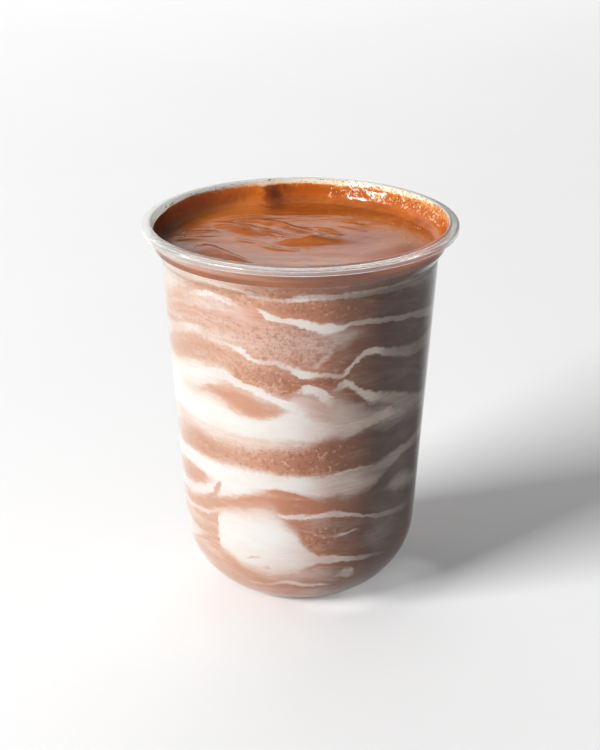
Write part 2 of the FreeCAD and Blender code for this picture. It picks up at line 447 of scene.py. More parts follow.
# How far each of the corners is rounded, by its number in the outline.
rim_rounds = {
    1: SHOULDER_ROUND, 2: COLLAR_ROUND, 3: RIM_ROUND, 4: RIM_ROUND, 5: RIM_ROUND, 6: RIM_ROUND,
    7: RIM_ROUND * 2, 8: RIM_ROUND, 9: RIM_ROUND * 0.9, 10: COLLAR_ROUND, 11: SHOULDER_ROUND,
}
rim_outline = rounded([outer_foot[-1]] + rim_corners + [inner_foot[-1]], rim_rounds)[1:-1]
cup = turned("clear_cup", outer_foot + rim_outline + inner_foot[::-1])
plastic, start, place = finish_for("clear_plastic")
ripple = place.grain(60.0, 2.0)
waver = start.node("Bump", {}, {"Strength": 0.05, "Distance": 0.0004, "Height": ripple})
clear = start.node("BsdfPrincipled", {}, {
    "Base Color": (0.985, 0.99, 0.988, 1.0),
    "Roughness": 0.03,
    "IOR": 1.42,
    "Transmission Weight": 1.0,
    "Normal": waver,
})
hazy = start.node("BsdfPrincipled", {}, {
    "Base Color": (0.78, 0.79, 0.76, 1.0),
    "Roughness": 0.35,
    "IOR": 1.49,
})
seen_through = start.node("BsdfTranslucent", {}, {"Color": (0.86, 0.87, 0.84, 1.0)})
hazy = start.node("MixShader", {}, {0: 0.45, 1: hazy, 2: seen_through})
# The rim is a little hazy all round. Towards the sides and back it is made hazier and paler: painted light
# that pales the ring, also on the right where it lies in shade.
haze_and_painted_side_light = 0.13 + 0.42 * abs(place.azimuth()).step(45.0, 100.0)
rim_haze_and_painted_light = (place.part(2) * 1000.0).step(113.6, 114.4) * haze_and_painted_side_light
surface(start, start.node("MixShader", {}, {0: rim_haze_and_painted_light, 1: clear, 2: hazy}))
cup.data.materials.append(plastic)
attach(cup, "root")
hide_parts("cup")

# ---- The marbled drink ----
# Milk and chocolate poured together and hardly stirred: brown drink with ribbons of milk drawn
# round the cup. It is opaque, and it wets the wall, so its side reaches just into the plastic.
INTO_WALL = 0.3 * MM
LAYER_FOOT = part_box("marbled_smoothie")[1][2]
DRINK_SKIN = WALL - INTO_WALL
DRINK_PITCH = 3 * MM
drink_outline = foot_outline(DRINK_SKIN, LAYER_FOOT, DRINK_PITCH) + [(0.0, LAYER_FOOT)]
drink = turned("marbled_drink", drink_outline)

# The greatest azimuth, height and spread in the pours below, and the least spread, as a share.
HALF_TURN = 110.0
TALLEST = 120.0
WIDEST = 12.0
LEAST_SPREAD = 0.008

# What was poured on the side that faces the front, from the first pour to the last. Each pour has
# its kind, how soft its edge is, and stops along it: azimuth in degrees from the front and to the
# right, the height of its line, how far it spreads above and below, and how strong it is.
FRONT_POURS = [
    ("milk", 1.3, [(-70, 109.4, 1, 1.2, 0.5), (-48, 109.4, 1, 1.4, 0.42), (-36, 109.4, 1, 1.6, 0.55),
        (-26, 109.4, 1, 1.6, 0.38), (-16, 109.4, 1, 1.4, 0)]),
    ("cocoa", 1.2, [(-22, 108.6, 0.6, 0.8, 0), (-10, 108.4, 0.9, 1.2, 0.4), (20, 108.2, 1, 1.2, 0.55),
        (50, 108.4, 1, 1, 0.5), (70, 108.4, 0.6, 0.6, 0)]),
    # A wide pale wash over the whole height at the left: painted light, paling the side that faces the
    # lamp.
    ("milk", 1.4, [(-100, 60, 60, 60, 0), (-92, 60, 60, 60, 0.38), (-80, 60, 60, 60, 0.44),
        (-68, 60, 60, 60, 0.26), (-52, 60, 60, 60, 0.1), (-30, 60, 60, 60, 0)]),
    ("milk", 0.9, [(-98, 103, 6, 6, 0.9), (-75, 104, 6, 6, 0.75), (-62, 105, 4, 4, 0.6),
        (-54, 106.5, 2.4, 3, 0.45), (-45, 107.8, 1.2, 1.4, 0.4), (-36, 108, 1, 1, 0)]),
    ("brown", 0.8, [(-56, 104, 0.5, 0.5, 0), (-48, 104.6, 1.2, 1.2, 0.5), (-38, 105.7, 1.2, 1.2, 0.6),
        (-30, 105.6, 1.2, 1.3, 0.6), (-24, 104.4, 1.3, 1.4, 0.55), (-17, 103.2, 1.5, 1.4, 0.7),
        (-10, 101.8, 1.8, 1.7, 0.8), (0, 101.6, 1.9, 1.8, 0.85), (12, 101.6, 2.4, 2, 0.85),
        (22, 101.6, 3, 2.8, 0.6), (36, 101, 3, 3, 0)]),
    ("milk", 0.5, [(-52, 108.6, 0.6, 0.6, 0), (-42, 108.2, 0.7, 0.8, 0.5), (-33, 107.6, 0.8, 0.9, 0.75),
        (-25, 107.2, 0.8, 0.8, 0.7), (-20, 106.2, 0.8, 0.9, 0.7), (-15, 105.1, 0.9, 0.8, 0.6),
        (-9, 104.5, 0.6, 0.6, 0.45), (-4, 105, 0.9, 0.9, 0.85), (2, 105.6, 1.2, 1.1, 0.95),
        (8, 105.8, 0.9, 1, 0.8), (18, 105.9, 0.9, 1, 0.7), (34, 105.9, 1, 1.1, 0.48),
        (52, 105.2, 1.2, 1.4, 0.42), (98, 103, 2, 2, 0.42)]),
    ("milk", 1.2, [(-62, 101, 1.5, 1.5, 0), (-50, 101.2, 2, 1.8, 0.35), (-36, 101.4, 2.2, 2.2, 0.42),
        (-26, 100.8, 1.8, 2, 0.3), (-19, 100, 1, 1, 0)]),
    ("milk", 0.5, [(-54, 101.6, 0.4, 0.4, 0), (-46, 103, 0.7, 0.9, 0.7), (-40, 104.1, 0.9, 1.3, 0.9),
        (-35, 103.2, 0.8, 0.9, 0.75), (-29, 102.8, 0.7, 0.8, 0.55), (-22, 101.4, 0.4, 0.4, 0)]),
    ("milk", 1, [(-76, 95, 0.8, 0.8, 0.2), (-62, 97.6, 0.9, 0.9, 0.4), (-50, 99.2, 0.9, 0.8, 0.35),
        (-40, 100.2, 0.6, 0.6, 0.2), (-30, 100, 0.5, 0.5, 0)]),
    ("milk", 1.3, [(-34, 93, 2, 2, 0), (-24, 92, 3.6, 3.6, 0.3), (-12, 91.6, 5.2, 5.6, 0.4),
        (0, 91.2, 5.2, 5.8, 0.42), (8, 90.4, 4.2, 4.4, 0.5), (14, 92, 3.4, 2.6, 0.45),
        (19, 93, 2.4, 2.6, 0.48), (26, 94.6, 1.2, 1.6, 0.17), (34, 95, 1, 1, 0)]),
    ("milk", 0.4, [(-18.5, 102, 0.3, 0.3, 0), (-16.5, 101, 0.8, 0.7, 0.75), (-13, 99.5, 1.1, 0.9, 1),
        (-8, 98.7, 0.8, 0.8, 0.9), (-3, 98.3, 0.9, 0.9, 1), (2, 97.6, 1.1, 1.2, 1), (6, 96.9, 1.3, 1.8, 1),
        (10, 96.2, 1.4, 2.2, 1), (15, 96.2, 1.2, 1.8, 0.95), (18.5, 96.4, 0.8, 1.2, 0.84),
        (22, 97, 0.8, 0.7, 0.59), (32, 96.5, 0.8, 0.8, 0.56), (45, 95.2, 0.9, 0.9, 0.48),
        (60, 93.4, 1.2, 1.1, 0.42), (98, 88, 2, 2, 0.42)]),
    ("milk", 0.8, [(-98, 84, 3, 3, 0.7), (-74, 87, 1.8, 2, 0.6), (-62, 89.2, 1.4, 1.8, 0.7),
        (-50, 91.6, 1.3, 1.9, 0.85), (-43, 91, 1.8, 2.2, 0.6), (-35, 90.6, 2.6, 2.6, 0.62),
        (-28, 90.4, 2.4, 2, 0.45), (-22, 91, 1, 1, 0)]),
    ("milk", 0.45, [(-34, 89.6, 0.4, 0.4, 0), (-29, 88.6, 0.8, 0.8, 0.8), (-25, 87.8, 1.1, 1, 1),
        (-22, 86.6, 0.9, 0.9, 1), (-19, 85.2, 0.8, 0.8, 0.9), (-15, 84.7, 0.6, 0.6, 0.65),
        (-10, 84.9, 0.9, 0.7, 0.6), (-6, 84, 0.8, 0.8, 0.7), (-3, 82.8, 1, 0.9, 0.9),
        (0, 81.8, 1.5, 1.1, 1), (4, 81.4, 1.2, 0.9, 0.95), (8, 81.4, 0.7, 0.7, 0.7),
        (13, 81.2, 0.8, 0.8, 0.62), (17, 80.6, 0.9, 0.9, 0.6), (20, 81.6, 0.9, 0.9, 0.87),
        (23, 84, 0.9, 0.9, 0.87), (27, 86, 1, 0.9, 0.87), (31, 87, 1.1, 1.2, 0.9),
        (35, 86.8, 1.2, 1.5, 0.87), (40, 85.4, 1.2, 1.6, 0.52), (50, 83.9, 1.6, 2, 0.38),
        (62, 83.2, 1.8, 2.2, 0.3), (98, 84, 3, 3, 0.25)]),
    ("milk", 0.9, [(3, 83.6, 0.4, 0.4, 0), (7, 84.6, 0.8, 0.8, 0.5), (10.5, 86.4, 0.9, 1, 0.5),
        (13.5, 89, 1.6, 1.8, 0.4), (17, 92, 2, 2, 0)]),
    ("milk", 1, [(-98, 76, 3, 4, 0.9), (-72, 76.4, 2.4, 3, 0.75), (-58, 77.6, 2.4, 3, 0.75),
        (-46, 79, 2.4, 3, 0.75), (-36, 80, 2, 3, 0.75), (-30, 79, 1.6, 2, 0.5), (-24, 77, 1, 1, 0)]),
    ("brown", 0.6, [(-84, 81, 1, 1.5, 0.2), (-66, 82.6, 1.4, 2, 0.4), (-54, 84.6, 1.6, 2.2, 0.7),
        (-44, 86.2, 1.2, 1.9, 0.6), (-36, 86.4, 1.4, 2.2, 0.7), (-30, 84, 2.2, 2.8, 0.5),
        (-23, 81.2, 2.6, 2.8, 0.85), (-15, 80, 3.5, 3.3, 1), (-9, 79, 4, 3.9, 1), (-5, 78, 3, 3.4, 1),
        (-2, 78.4, 1, 1.9, 1), (2, 79.2, 0.6, 0.5, 0.95), (8, 79.4, 0.8, 1.1, 0.95),
        (13, 79.2, 1.2, 1.6, 0.95), (17, 79.2, 0.8, 1.1, 0.95), (20, 79.4, 0.3, 0.3, 0)]),
    ("cocoa", 1.1, [(-24, 81, 1, 1, 0), (-16, 80.8, 1.8, 2, 0.35), (-8, 79.6, 2.4, 2.6, 0.5),
        (-4, 78.2, 1.6, 2, 0.55), (0, 79, 0.8, 0.8, 0.5), (8, 79.2, 0.8, 0.8, 0.5), (14, 79, 1, 1, 0.6),
        (20, 79, 0.4, 0.4, 0)]),
    ("milk", 0.7, [(-98, 73, 4, 4, 1), (-62, 74, 3, 3.4, 0.95), (-50, 74.6, 3, 2.6, 0.9),
        (-44, 75.6, 2.2, 1.6, 0.8), (-38, 76.2, 1.6, 1.2, 0.6), (-30, 76, 1, 1, 0)]),
    ("milk", 0.4, [(-52, 77.2, 1, 1, 0.6), (-42, 79, 1.6, 2.2, 0.85), (-34, 79.6, 1, 2.8, 0.95),
        (-30, 78.8, 0.7, 2.6, 1), (-26, 77.4, 0.8, 1.8, 1), (-20, 76.4, 0.8, 1.8, 1),
        (-15, 75, 0.8, 1.6, 1), (-10, 73.5, 0.8, 1.6, 1), (-5, 72.2, 1.2, 1.8, 1),
        (-1, 71.4, 1.8, 2.2, 0.9), (3, 70.4, 2, 2.4, 0.5), (8, 69, 1.5, 1.5, 0)]),
    ("milk", 0.35, [(-2, 76.6, 0.3, 0.3, 0), (0, 77.2, 0.8, 1.3, 0.85), (3, 77.6, 1, 2.4, 1),
        (6, 77.2, 0.8, 2.2, 0.95), (9, 76.2, 0.9, 2.4, 0.9), (11.5, 74.8, 1, 3, 0.9),
        (13.5, 74, 0.9, 3, 0.6), (16, 73, 1, 2, 0)]),
    ("milk", 0.7, [(12, 75.4, 0.4, 0.4, 0), (16, 77.2, 0.9, 1.2, 0.5), (20, 78.3, 1, 1.2, 0.87),
        (24, 76.4, 0.8, 1.1, 0.84), (28, 74.2, 1, 1.5, 0.9), (31.5, 73, 1.3, 2.2, 0.9),
        (34, 72.4, 1, 2.2, 0.8), (39, 71.8, 1, 2.4, 0.58), (47, 70.2, 1.1, 3, 0.5),
        (56, 67.8, 1.3, 3.4, 0.44), (68, 64.4, 1.8, 3, 0.36), (98, 60, 3, 3, 0.25)]),
    ("milk", 1.2, [(-4, 72, 1, 1, 0), (0, 72, 2.4, 3, 0.5), (6, 70.6, 3.4, 4, 0.6),
        (12, 69.6, 4.6, 4.4, 0.62), (18, 68.8, 4.4, 4.4, 0.77), (24, 67.2, 3.4, 4, 0.59),
        (32, 66.2, 2.6, 3.4, 0.5), (42, 65.2, 2.6, 3.4, 0.56), (54, 63.6, 2.2, 2.2, 0.39),
        (70, 61, 2, 2, 0)]),
    ("milk", 0.5, [(-98, 66, 7, 6, 1), (-70, 66.4, 5.4, 5, 1), (-52, 66, 5.4, 5.6, 1),
        (-42, 65.4, 6.4, 5.2, 1), (-33, 64.4, 4.6, 4.2, 1), (-24, 63.8, 3.6, 3.8, 1),
        (-13, 64, 3.9, 3.9, 1), (-6, 65, 5.4, 5, 1), (0, 65.2, 5.6, 5.4, 0.95), (5, 64.4, 4, 4.6, 0.85),
        (11, 64, 2.6, 3.8, 0.7), (17, 63.4, 2.2, 3, 0.52), (24, 63.2, 2, 2.2, 0.56),
        (34, 64.6, 1.7, 1.7, 0.56), (42, 65.6, 1.3, 1.6, 0.59), (48, 65.2, 1, 1.2, 0.28),
        (56, 64, 1, 1, 0)]),
    ("milk", 1.3, [(-98, 60, 4, 3, 0.7), (-60, 59.6, 1.6, 2, 0.5), (-36, 59.2, 1.4, 2.6, 0.6),
        (-24, 58.6, 1.4, 2.4, 0.62), (-8, 58.8, 1.2, 1.6, 0.5), (4, 59.2, 1, 1.2, 0.3),
        (12, 60.8, 0.8, 0.8, 0)]),
    ("brown", 0.8, [(-50, 72.4, 0.3, 0.3, 0.2), (-43, 72.6, 0.4, 0.4, 0.5), (-38, 72.9, 0.9, 1, 0.85),
        (-32, 72.9, 1.3, 2, 0.95), (-27, 72.4, 1.9, 3.2, 0.95), (-21, 71, 2, 3.4, 0.9),
        (-15, 70, 1.8, 2.7, 0.78), (-9, 69.5, 1.1, 1.4, 0.5), (-5, 69.6, 0.3, 0.4, 0)]),
    ("brown", 0.9, [(-80, 54.4, 1.5, 1.6, 0.1), (-64, 54.4, 2.2, 2.4, 0.6), (-52, 54.6, 3.2, 3.4, 0.95),
        (-42, 54, 2.6, 3.2, 0.9), (-33, 53.4, 2.2, 2.6, 0.6), (-22, 53.2, 2.6, 2.8, 0.7),
        (-12, 53.4, 3.2, 3.2, 0.95), (0, 53.6, 3.9, 3.8, 1), (9, 54.4, 4.8, 4.4, 1),
        (17, 55, 5.2, 5.2, 0.9), (24, 54, 4, 4, 0.4), (34, 54, 3, 3, 0)]),
    ("cocoa", 1.2, [(-14, 53, 1, 1, 0), (-6, 53.2, 1.6, 1.6, 0.3), (3, 53.4, 2.4, 2.4, 0.4),
        (10, 55.6, 3.4, 3.4, 0.55), (16, 57, 3.2, 4.4, 0.55), (22, 57, 2, 3, 0)]),
    ("milk", 0.5, [(-98, 46.5, 6, 4, 1), (-72, 47.6, 2.8, 3.2, 1), (-60, 47.8, 2.4, 2.6, 1),
        (-50, 47.2, 2.8, 3.6, 1), (-41, 46.6, 3.2, 5.4, 1), (-34, 46, 3.6, 5.4, 1), (-26, 45.8, 4, 4.4, 1),
        (-18, 46, 3.7, 3.2, 1), (-10, 46, 3.3, 2.2, 1), (-4, 45.8, 3.4, 2.6, 1), (2, 45.6, 3.4, 3.4, 0.95),
        (8, 45.4, 3.6, 4, 0.76), (15, 45.8, 3.4, 4.6, 0.6), (24, 46, 3.2, 4.8, 0.7),
        (34, 46.2, 3, 4.2, 0.59), (42, 48.2, 2.4, 3, 0.5), (52, 50.7, 1.8, 1.8, 0.56),
        (60, 51.3, 1.3, 1.5, 0.42), (98, 53, 3, 3, 0.42)]),
    ("milk", 0.6, [(10, 48.6, 0.3, 0.3, 0), (16, 49, 0.5, 0.5, 0.45), (24, 49.4, 0.5, 0.5, 0.63),
        (34, 49.6, 0.4, 0.4, 0.28), (42, 50, 0.4, 0.4, 0)]),
    ("brown", 1.2, [(24, 46.6, 0.5, 0.5, 0), (31, 47, 1, 1, 0.4), (40, 46.6, 1, 1.2, 0.4),
        (48, 45.6, 1.2, 1.6, 0.4), (58, 45, 1, 1, 0)]),
    ("milk", 0.6, [(-98, 36, 3, 3, 0.9), (-74, 35.6, 1.6, 1.8, 0.85), (-60, 36.8, 1.7, 2, 0.85),
        (-50, 38.6, 1.8, 1.9, 0.9), (-44, 40, 2, 1.8, 0.9), (-38, 40.8, 2, 1.6, 0.9),
        (-30, 41.6, 1.4, 1, 0.7), (-22, 42.4, 1, 0.6, 0.3), (-16, 43, 0.5, 0.5, 0)]),
    ("brown", 0.6, [(-84, 39, 1, 1.5, 0.1), (-72, 40.2, 1.6, 2.2, 0.4), (-65, 41.2, 2, 2.6, 0.8),
        (-58, 42, 2, 2.6, 0.85), (-53, 42.4, 1.3, 1.7, 0.8), (-49, 42.4, 0.4, 0.6, 0.5),
        (-47.5, 42.3, 0.2, 0.2, 0)]),
    ("brown", 0.5, [(-50, 35.8, 0.3, 0.3, 0), (-48, 36.7, 0.7, 0.7, 0.6), (-45, 38.5, 1.1, 1.3, 0.8),
        (-42.4, 41, 1.4, 2, 0.85), (-40.8, 42.4, 0.7, 1.9, 0.75), (-39.4, 42.8, 0.3, 0.4, 0)]),
    ("brown", 0.35, [(-84, 30.6, 0.6, 0.6, 0.1), (-70, 31.4, 0.8, 0.9, 0.5), (-60, 32.6, 1.1, 1.4, 0.8),
        (-50, 34, 1.5, 1.7, 0.85), (-44, 35.3, 1.6, 1.6, 0.9), (-38, 36.3, 1.5, 1.5, 0.95),
        (-30, 37.6, 1.9, 1.6, 1), (-22, 38.6, 2.2, 1.9, 1), (-14, 38.8, 2.4, 2, 1), (-6, 38.8, 2.3, 2.3, 1),
        (2, 38.6, 2.3, 2.5, 1), (10, 38.2, 2.1, 2.1, 0.9), (20, 37.8, 1.9, 1.8, 0.8),
        (32, 37.4, 2.4, 2.2, 0.6), (46, 37, 2, 2, 0)]),
    ("brown", 0.5, [(-16.5, 43.1, 0.2, 0.2, 0), (-13.5, 43.1, 0.5, 0.6, 0.9), (-9, 43, 0.6, 0.9, 1),
        (-4, 42.5, 0.6, 0.9, 1), (1, 41.8, 0.5, 0.6, 0.9), (6, 41.1, 0.4, 0.4, 0.6),
        (9, 40.8, 0.2, 0.2, 0)]),
    ("milk", 0.6, [(-76, 29.4, 0.8, 0.8, 0.6), (-60, 30.2, 0.6, 0.6, 0.65), (-50, 31, 0.5, 0.6, 0.6),
        (-45, 31.9, 0.5, 0.6, 0.5), (-41, 33.6, 0.4, 0.5, 0.3), (-38, 34, 0.3, 0.3, 0)]),
    ("milk", 0.6, [(-80, 21, 4, 4, 0.9), (-66, 21.6, 2.4, 2.4, 0.75), (-58, 22.4, 1, 1.3, 0.55),
        (-52, 23, 0.6, 0.8, 0.4), (-47, 23.2, 0.3, 0.3, 0)]),
    ("milk", 0.35, [(-44.2, 26, 0.4, 0.4, 0), (-43.2, 26, 4.6, 4.6, 1), (-41, 26.4, 6.6, 6.4, 1),
        (-37, 26.4, 7.8, 7.6, 1), (-32, 26, 8.8, 9, 1), (-25, 25.8, 9.9, 9.9, 1),
        (-19, 25.6, 10.8, 10.6, 1), (-15, 25, 11.6, 10.6, 1), (-12, 24.6, 11.2, 9.6, 1),
        (-9, 24.2, 9.6, 8.6, 1), (-5, 23.6, 7.8, 7.2, 0.98), (-1, 22.6, 6.2, 5.8, 0.95),
        (3, 21.2, 3.9, 3.2, 0.9), (8, 20.4, 2, 1.4, 0.85), (14, 20.1, 1.5, 1.2, 0.78),
        (20, 19.6, 1.1, 1.1, 0.84), (28, 18.8, 0.8, 0.8, 0.59), (38, 18.4, 0.6, 0.6, 0.35),
        (50, 17.5, 0.5, 0.5, 0)]),
    ("brown", 1.6, [(-27, 18, 1, 1, 0), (-20, 17.6, 3, 3.4, 0.18), (-12, 19, 4, 4.4, 0.22),
        (-4, 21.6, 5.6, 5, 0.22), (4, 21, 4, 4, 0.26), (14, 20, 1, 1, 0.2), (24, 19, 1, 1, 0)]),
    ("brown", 0.9, [(-29.5, 19.4, 0.2, 0.2, 0), (-26, 20, 0.4, 0.4, 0.5), (-21, 20.7, 0.5, 0.4, 0.5),
        (-18, 20.9, 0.2, 0.2, 0)]),
    ("brown", 0.9, [(-20.5, 17.2, 0.2, 0.2, 0), (-18, 17.4, 0.7, 0.6, 0.45), (-15.5, 17.2, 0.4, 0.4, 0.35),
        (-14, 17.2, 0.2, 0.2, 0)]),
    ("milk", 0.5, [(-13, 36.2, 0.3, 0.4, 0), (-9, 35.7, 0.5, 0.9, 0.8), (-3, 35.2, 0.6, 0.8, 0.8),
        (4, 35, 0.7, 0.7, 0.8), (9, 35.4, 0.7, 0.7, 0.7), (15, 35.6, 0.9, 0.9, 0.62),
        (22, 35.1, 0.7, 0.8, 0.81), (29, 33.9, 0.6, 0.7, 0.63), (38, 32.2, 0.6, 0.7, 0.5),
        (50, 31, 0.8, 0.8, 0.39), (70, 30, 1, 1, 0)]),
    ("cocoa", 1.2, [(-9, 32.2, 0.6, 0.6, 0), (-3, 32, 1.4, 1.6, 0.3), (6, 31.6, 1.8, 2.4, 0.4),
        (18, 31.6, 1.6, 1.8, 0.4), (30, 31, 1.2, 1.2, 0)]),
    ("milk", 0.8, [(13, 28, 0.3, 0.3, 0), (18, 28.1, 0.4, 0.4, 0.59), (25, 28.9, 0.4, 0.4, 0.56),
        (31, 29.4, 0.3, 0.3, 0)]),
    ("milk", 1.3, [(30, 26, 2, 2, 0), (38, 25.6, 4.4, 4.4, 0.2), (46, 26, 4, 4, 0.17), (56, 27, 2, 2, 0)]),
    ("milk", 1.2, [(44, 40, 0.6, 0.6, 0), (50, 40.6, 1.6, 1.8, 0.48), (58, 40.2, 2.4, 2.6, 0.48),
        (70, 38, 2, 2, 0.28), (98, 36, 2, 2, 0)]),
    ("milk", 1.2, [(-16, 14.6, 1, 1, 0), (-6, 14.8, 1.8, 1.8, 0.28), (4, 15.2, 2.6, 2.4, 0.38),
        (12, 14.8, 2.6, 2.6, 0.38), (22, 14, 2, 2, 0.21), (30, 13, 1, 1, 0)]),
    ("milk", 0.6, [(18, 13.4, 0.4, 0.4, 0), (22, 14.4, 1.2, 1, 0.5), (25, 14, 1.9, 2, 0.62),
        (27.5, 14.2, 1.2, 1.7, 0.62), (31, 12.6, 0.4, 0.4, 0)]),
    ("brown", 0.9, [(-52, 21, 1, 1, 0), (-44, 18.6, 1.8, 2, 0.45), (-36, 16.2, 2, 2.2, 0.75),
        (-28, 13.6, 1.6, 2.4, 0.85), (-20, 11.8, 1.2, 2.2, 0.85), (-12, 10.8, 1, 1.8, 0.7),
        (-4, 10, 0.8, 1, 0)]),
    ("milk", 0.7, [(-33, 9.4, 0.3, 0.3, 0), (-27, 10, 0.5, 0.5, 0.45), (-20, 10.1, 0.4, 0.4, 0.3),
        (-13, 11.2, 0.6, 0.6, 0.5), (-7, 12.3, 0.7, 0.7, 0.75), (-1, 11.6, 0.7, 0.8, 0.8),
        (6, 10.7, 0.6, 0.7, 0.7), (13, 10.5, 0.5, 0.5, 0.65), (19, 10.1, 0.3, 0.3, 0)]),
    ("milk", 1, [(54, 18, 0.5, 0.5, 0), (60, 18.4, 0.8, 0.8, 0.35), (66, 19, 0.6, 0.6, 0)]),
    ("brown", 1.6, [(-6, 72, 1, 1, 0), (1, 72.4, 1.8, 2.4, 0.3), (7, 71.6, 2.6, 3.4, 0.42),
        (14, 71, 2.6, 3.6, 0.44), (22, 70, 2, 2.6, 0.34), (32, 69, 1, 1, 0)]),
    # A dark wash low on the right: painted shade on the heel where it turns away from the lamp.
    ("cocoa", 1.4, [(6, 6, 2, 3, 0), (18, 7, 3, 5, 0.3), (34, 10, 4, 7, 0.5), (50, 15, 5, 11, 0.65),
        (66, 22, 7, 14, 0.75), (96, 22, 7, 14, 0.4)]),
]

# Where the drink is speckled with fine air bubbles and cocoa, as stops like those above.
SPECKLED = [
    [(-84, 92, 8, 6, 0.2), (-44, 93, 7, 6, 0.35), (-26, 91.6, 6, 5, 0.6), (-12, 91.4, 6.4, 6.4, 1),
     (2, 90.6, 6.4, 6.4, 1), (12, 89.6, 4, 4.4, 0.7), (20, 90, 2, 2, 0)],
    [(-64, 84, 4, 4, 0.2), (-36, 82, 4, 4, 0.4), (-20, 80, 4.4, 4, 0.8), (-6, 79, 4.4, 4.4, 0.9),
     (4, 79, 1, 1, 0.5), (18, 82, 4, 5, 0.6), (26, 82, 2, 2, 0)],
    [(-60, 52, 5, 5, 0.2), (-30, 53, 5, 5, 0.5), (-12, 53.4, 5, 5.4, 0.8), (0, 54, 6, 6, 0.9),
     (12, 54.4, 6.4, 6.4, 0.9), (24, 53, 5, 5, 0.4), (34, 53, 2, 2, 0)],
    [(-70, 104, 5, 5, 0.3), (-30, 105, 3.4, 3.4, 0.6), (-14, 106, 3.4, 3.4, 1), (2, 104, 5, 4.6, 1),
     (20, 103.6, 5, 4, 0.8), (34, 103, 2, 2, 0)],
    [(-2, 28, 1, 1, 0), (6, 27.6, 3.4, 3.4, 0.8), (14, 28, 4, 4, 0.7), (22, 28, 1, 1, 0)],
    [(-66, 94, 1, 1, 0), (-58, 95, 3, 3, 0.3), (-38, 92.6, 4, 8, 0.35), (-26, 88, 2, 4, 0)],
]
SPECKLE_SOFTNESS = 0.8

# Every pour's edge is softer than it says above, by a factor and by an addition.
SOFTER_BY = 1.2
SOFTER_PLUS = 0.3

# On the side that faces away, the pours lie from the first of these heights up to the second, as
# far apart as the third, and each has this many spans between its stops.
AWAY_LINES = (4, 108, 5)
AWAY_SPANS = 8
AWAY_SEED = 11


def pour(softness, stops):
    """A node group for one pour. Its line, spread and strength follow the azimuth."""
    group = bpy.data.node_groups.new("pour", "ShaderNodeTree")
    for name, kind in (
        ("Across", "Float"), ("Height", "Float"), ("Reach", "Float"), ("Streaks", "Float"),
        ("Under", "Color"), ("Ink", "Color"), ("Milk Under", "Float"), ("Milk", "Float"),
    ):
        group.interface.new_socket(name, in_out="INPUT", socket_type="NodeSocket" + kind)
    for name, kind in (("Share", "Float"), ("Over", "Color"), ("Milk Over", "Float")):
        group.interface.new_socket(name, in_out="OUTPUT", socket_type="NodeSocket" + kind)
    given = group.nodes.new("NodeGroupInput")
    across, height, reach, streaks, under, ink, milk_under, milk = (
        Wire(group, given.outputs[number]) for number in range(8)
    )
    ramp_stops = [
        (azimuth / (2 * HALF_TURN) + 0.5, (line / TALLEST, over / WIDEST, below / WIDEST, strength))
        for azimuth, line, over, below, strength in stops
    ]
    line = across.ramp(ramp_stops, "CARDINAL")
    rise = height - line.part(0)
    above = rise / line.part(1).at_least(LEAST_SPREAD)
    below = -rise / line.part(2).at_least(LEAST_SPREAD)
    spread = above.at_least(below) * (TALLEST / WIDEST)
    share = spread.step(1 + softness / 2, 1 - softness / 2) * line.also(1) * reach
    share = share * (1.0 - (1.0 - share) * streaks)
    answers = group.nodes.new("NodeGroupOutput").inputs
    group.links.new(share.socket, answers[0])
    group.links.new(under.mix(ink, share).socket, answers[1])
    group.links.new((milk_under + (milk - milk_under) * share).socket, answers[2])
    return group


def wandering_pours(maker):
    """Pours for the side that faces away, drawn at random from a maker with a fixed seed."""
    pours = []
    for line in range(*AWAY_LINES):
        line += maker.uniform(-1.5, 1.5)
        kind = "brown" if maker.random() < 0.3 else "milk"
        spread = maker.choice([0.6, 0.8, 1.2, 2.0, 3.2])
        strength = maker.uniform(0.5, 1.0)
        phase = maker.uniform(0, math.tau)
        slope = maker.uniform(-0.03, 0.03)
        first = maker.uniform(-100, -30)
        last = maker.uniform(30, 100)
        stops = []
        for number in range(AWAY_SPANS + 1):
            inside = 0 < number < AWAY_SPANS
            azimuth = first + (last - first) * number / AWAY_SPANS
            wave = 2.2 * math.sin(phase + azimuth * 0.05) + slope * azimuth
            above = spread * (maker.uniform(0.4, 1.5) * (1.0 if inside else 0.3))
            at = line + wave + maker.uniform(-0.7, 0.7)
            below = above * maker.uniform(0.8, 1.6)
            stops.append((azimuth, at, above, below, strength * inside))
        pours.append((kind, maker.uniform(0.4, 1.1), stops))
    return pours


marbled, start, place = finish_for("marbled_milk_and_chocolate")
# Noise bends every pour: a wide drift, curls in it, and a fine fray at the edges.
flow = place.stretch(1.0, 1.0, 2.4)
drift = flow.grain(34.0, 3.0, 0.55, out=1)
curl = flow.grain(190.0, 3.0, 0.65, out=1)
fray = place.grain(720.0, 2.0, 0.6, out=1)
azimuth = place.azimuth()
behind = place.stretch(-1.0, -1.0, 1.0).azimuth()
sway = (drift.part(0) - 0.5) * 5.0 + (curl.part(0) - 0.5) * 4.0 + (fray.part(0) - 0.5) * 1.9
height = place.part(2) * 1000.0 + (drift.part(1) - 0.5) * 2.0 + (curl.part(1) - 0.5) * 2.2
height = height + (fray.part(1) - 0.5) * 1.1
front = (azimuth + sway) / (2 * HALF_TURN) + 0.5
rear = (behind + sway) / (2 * HALF_TURN) + 0.5
level = height / TALLEST
meeting = abs(azimuth) + (drift.part(0) - 0.5) * 95.0 + (curl.part(1) - 0.5) * 45.0
facing = meeting.step(108.0, 88.0)
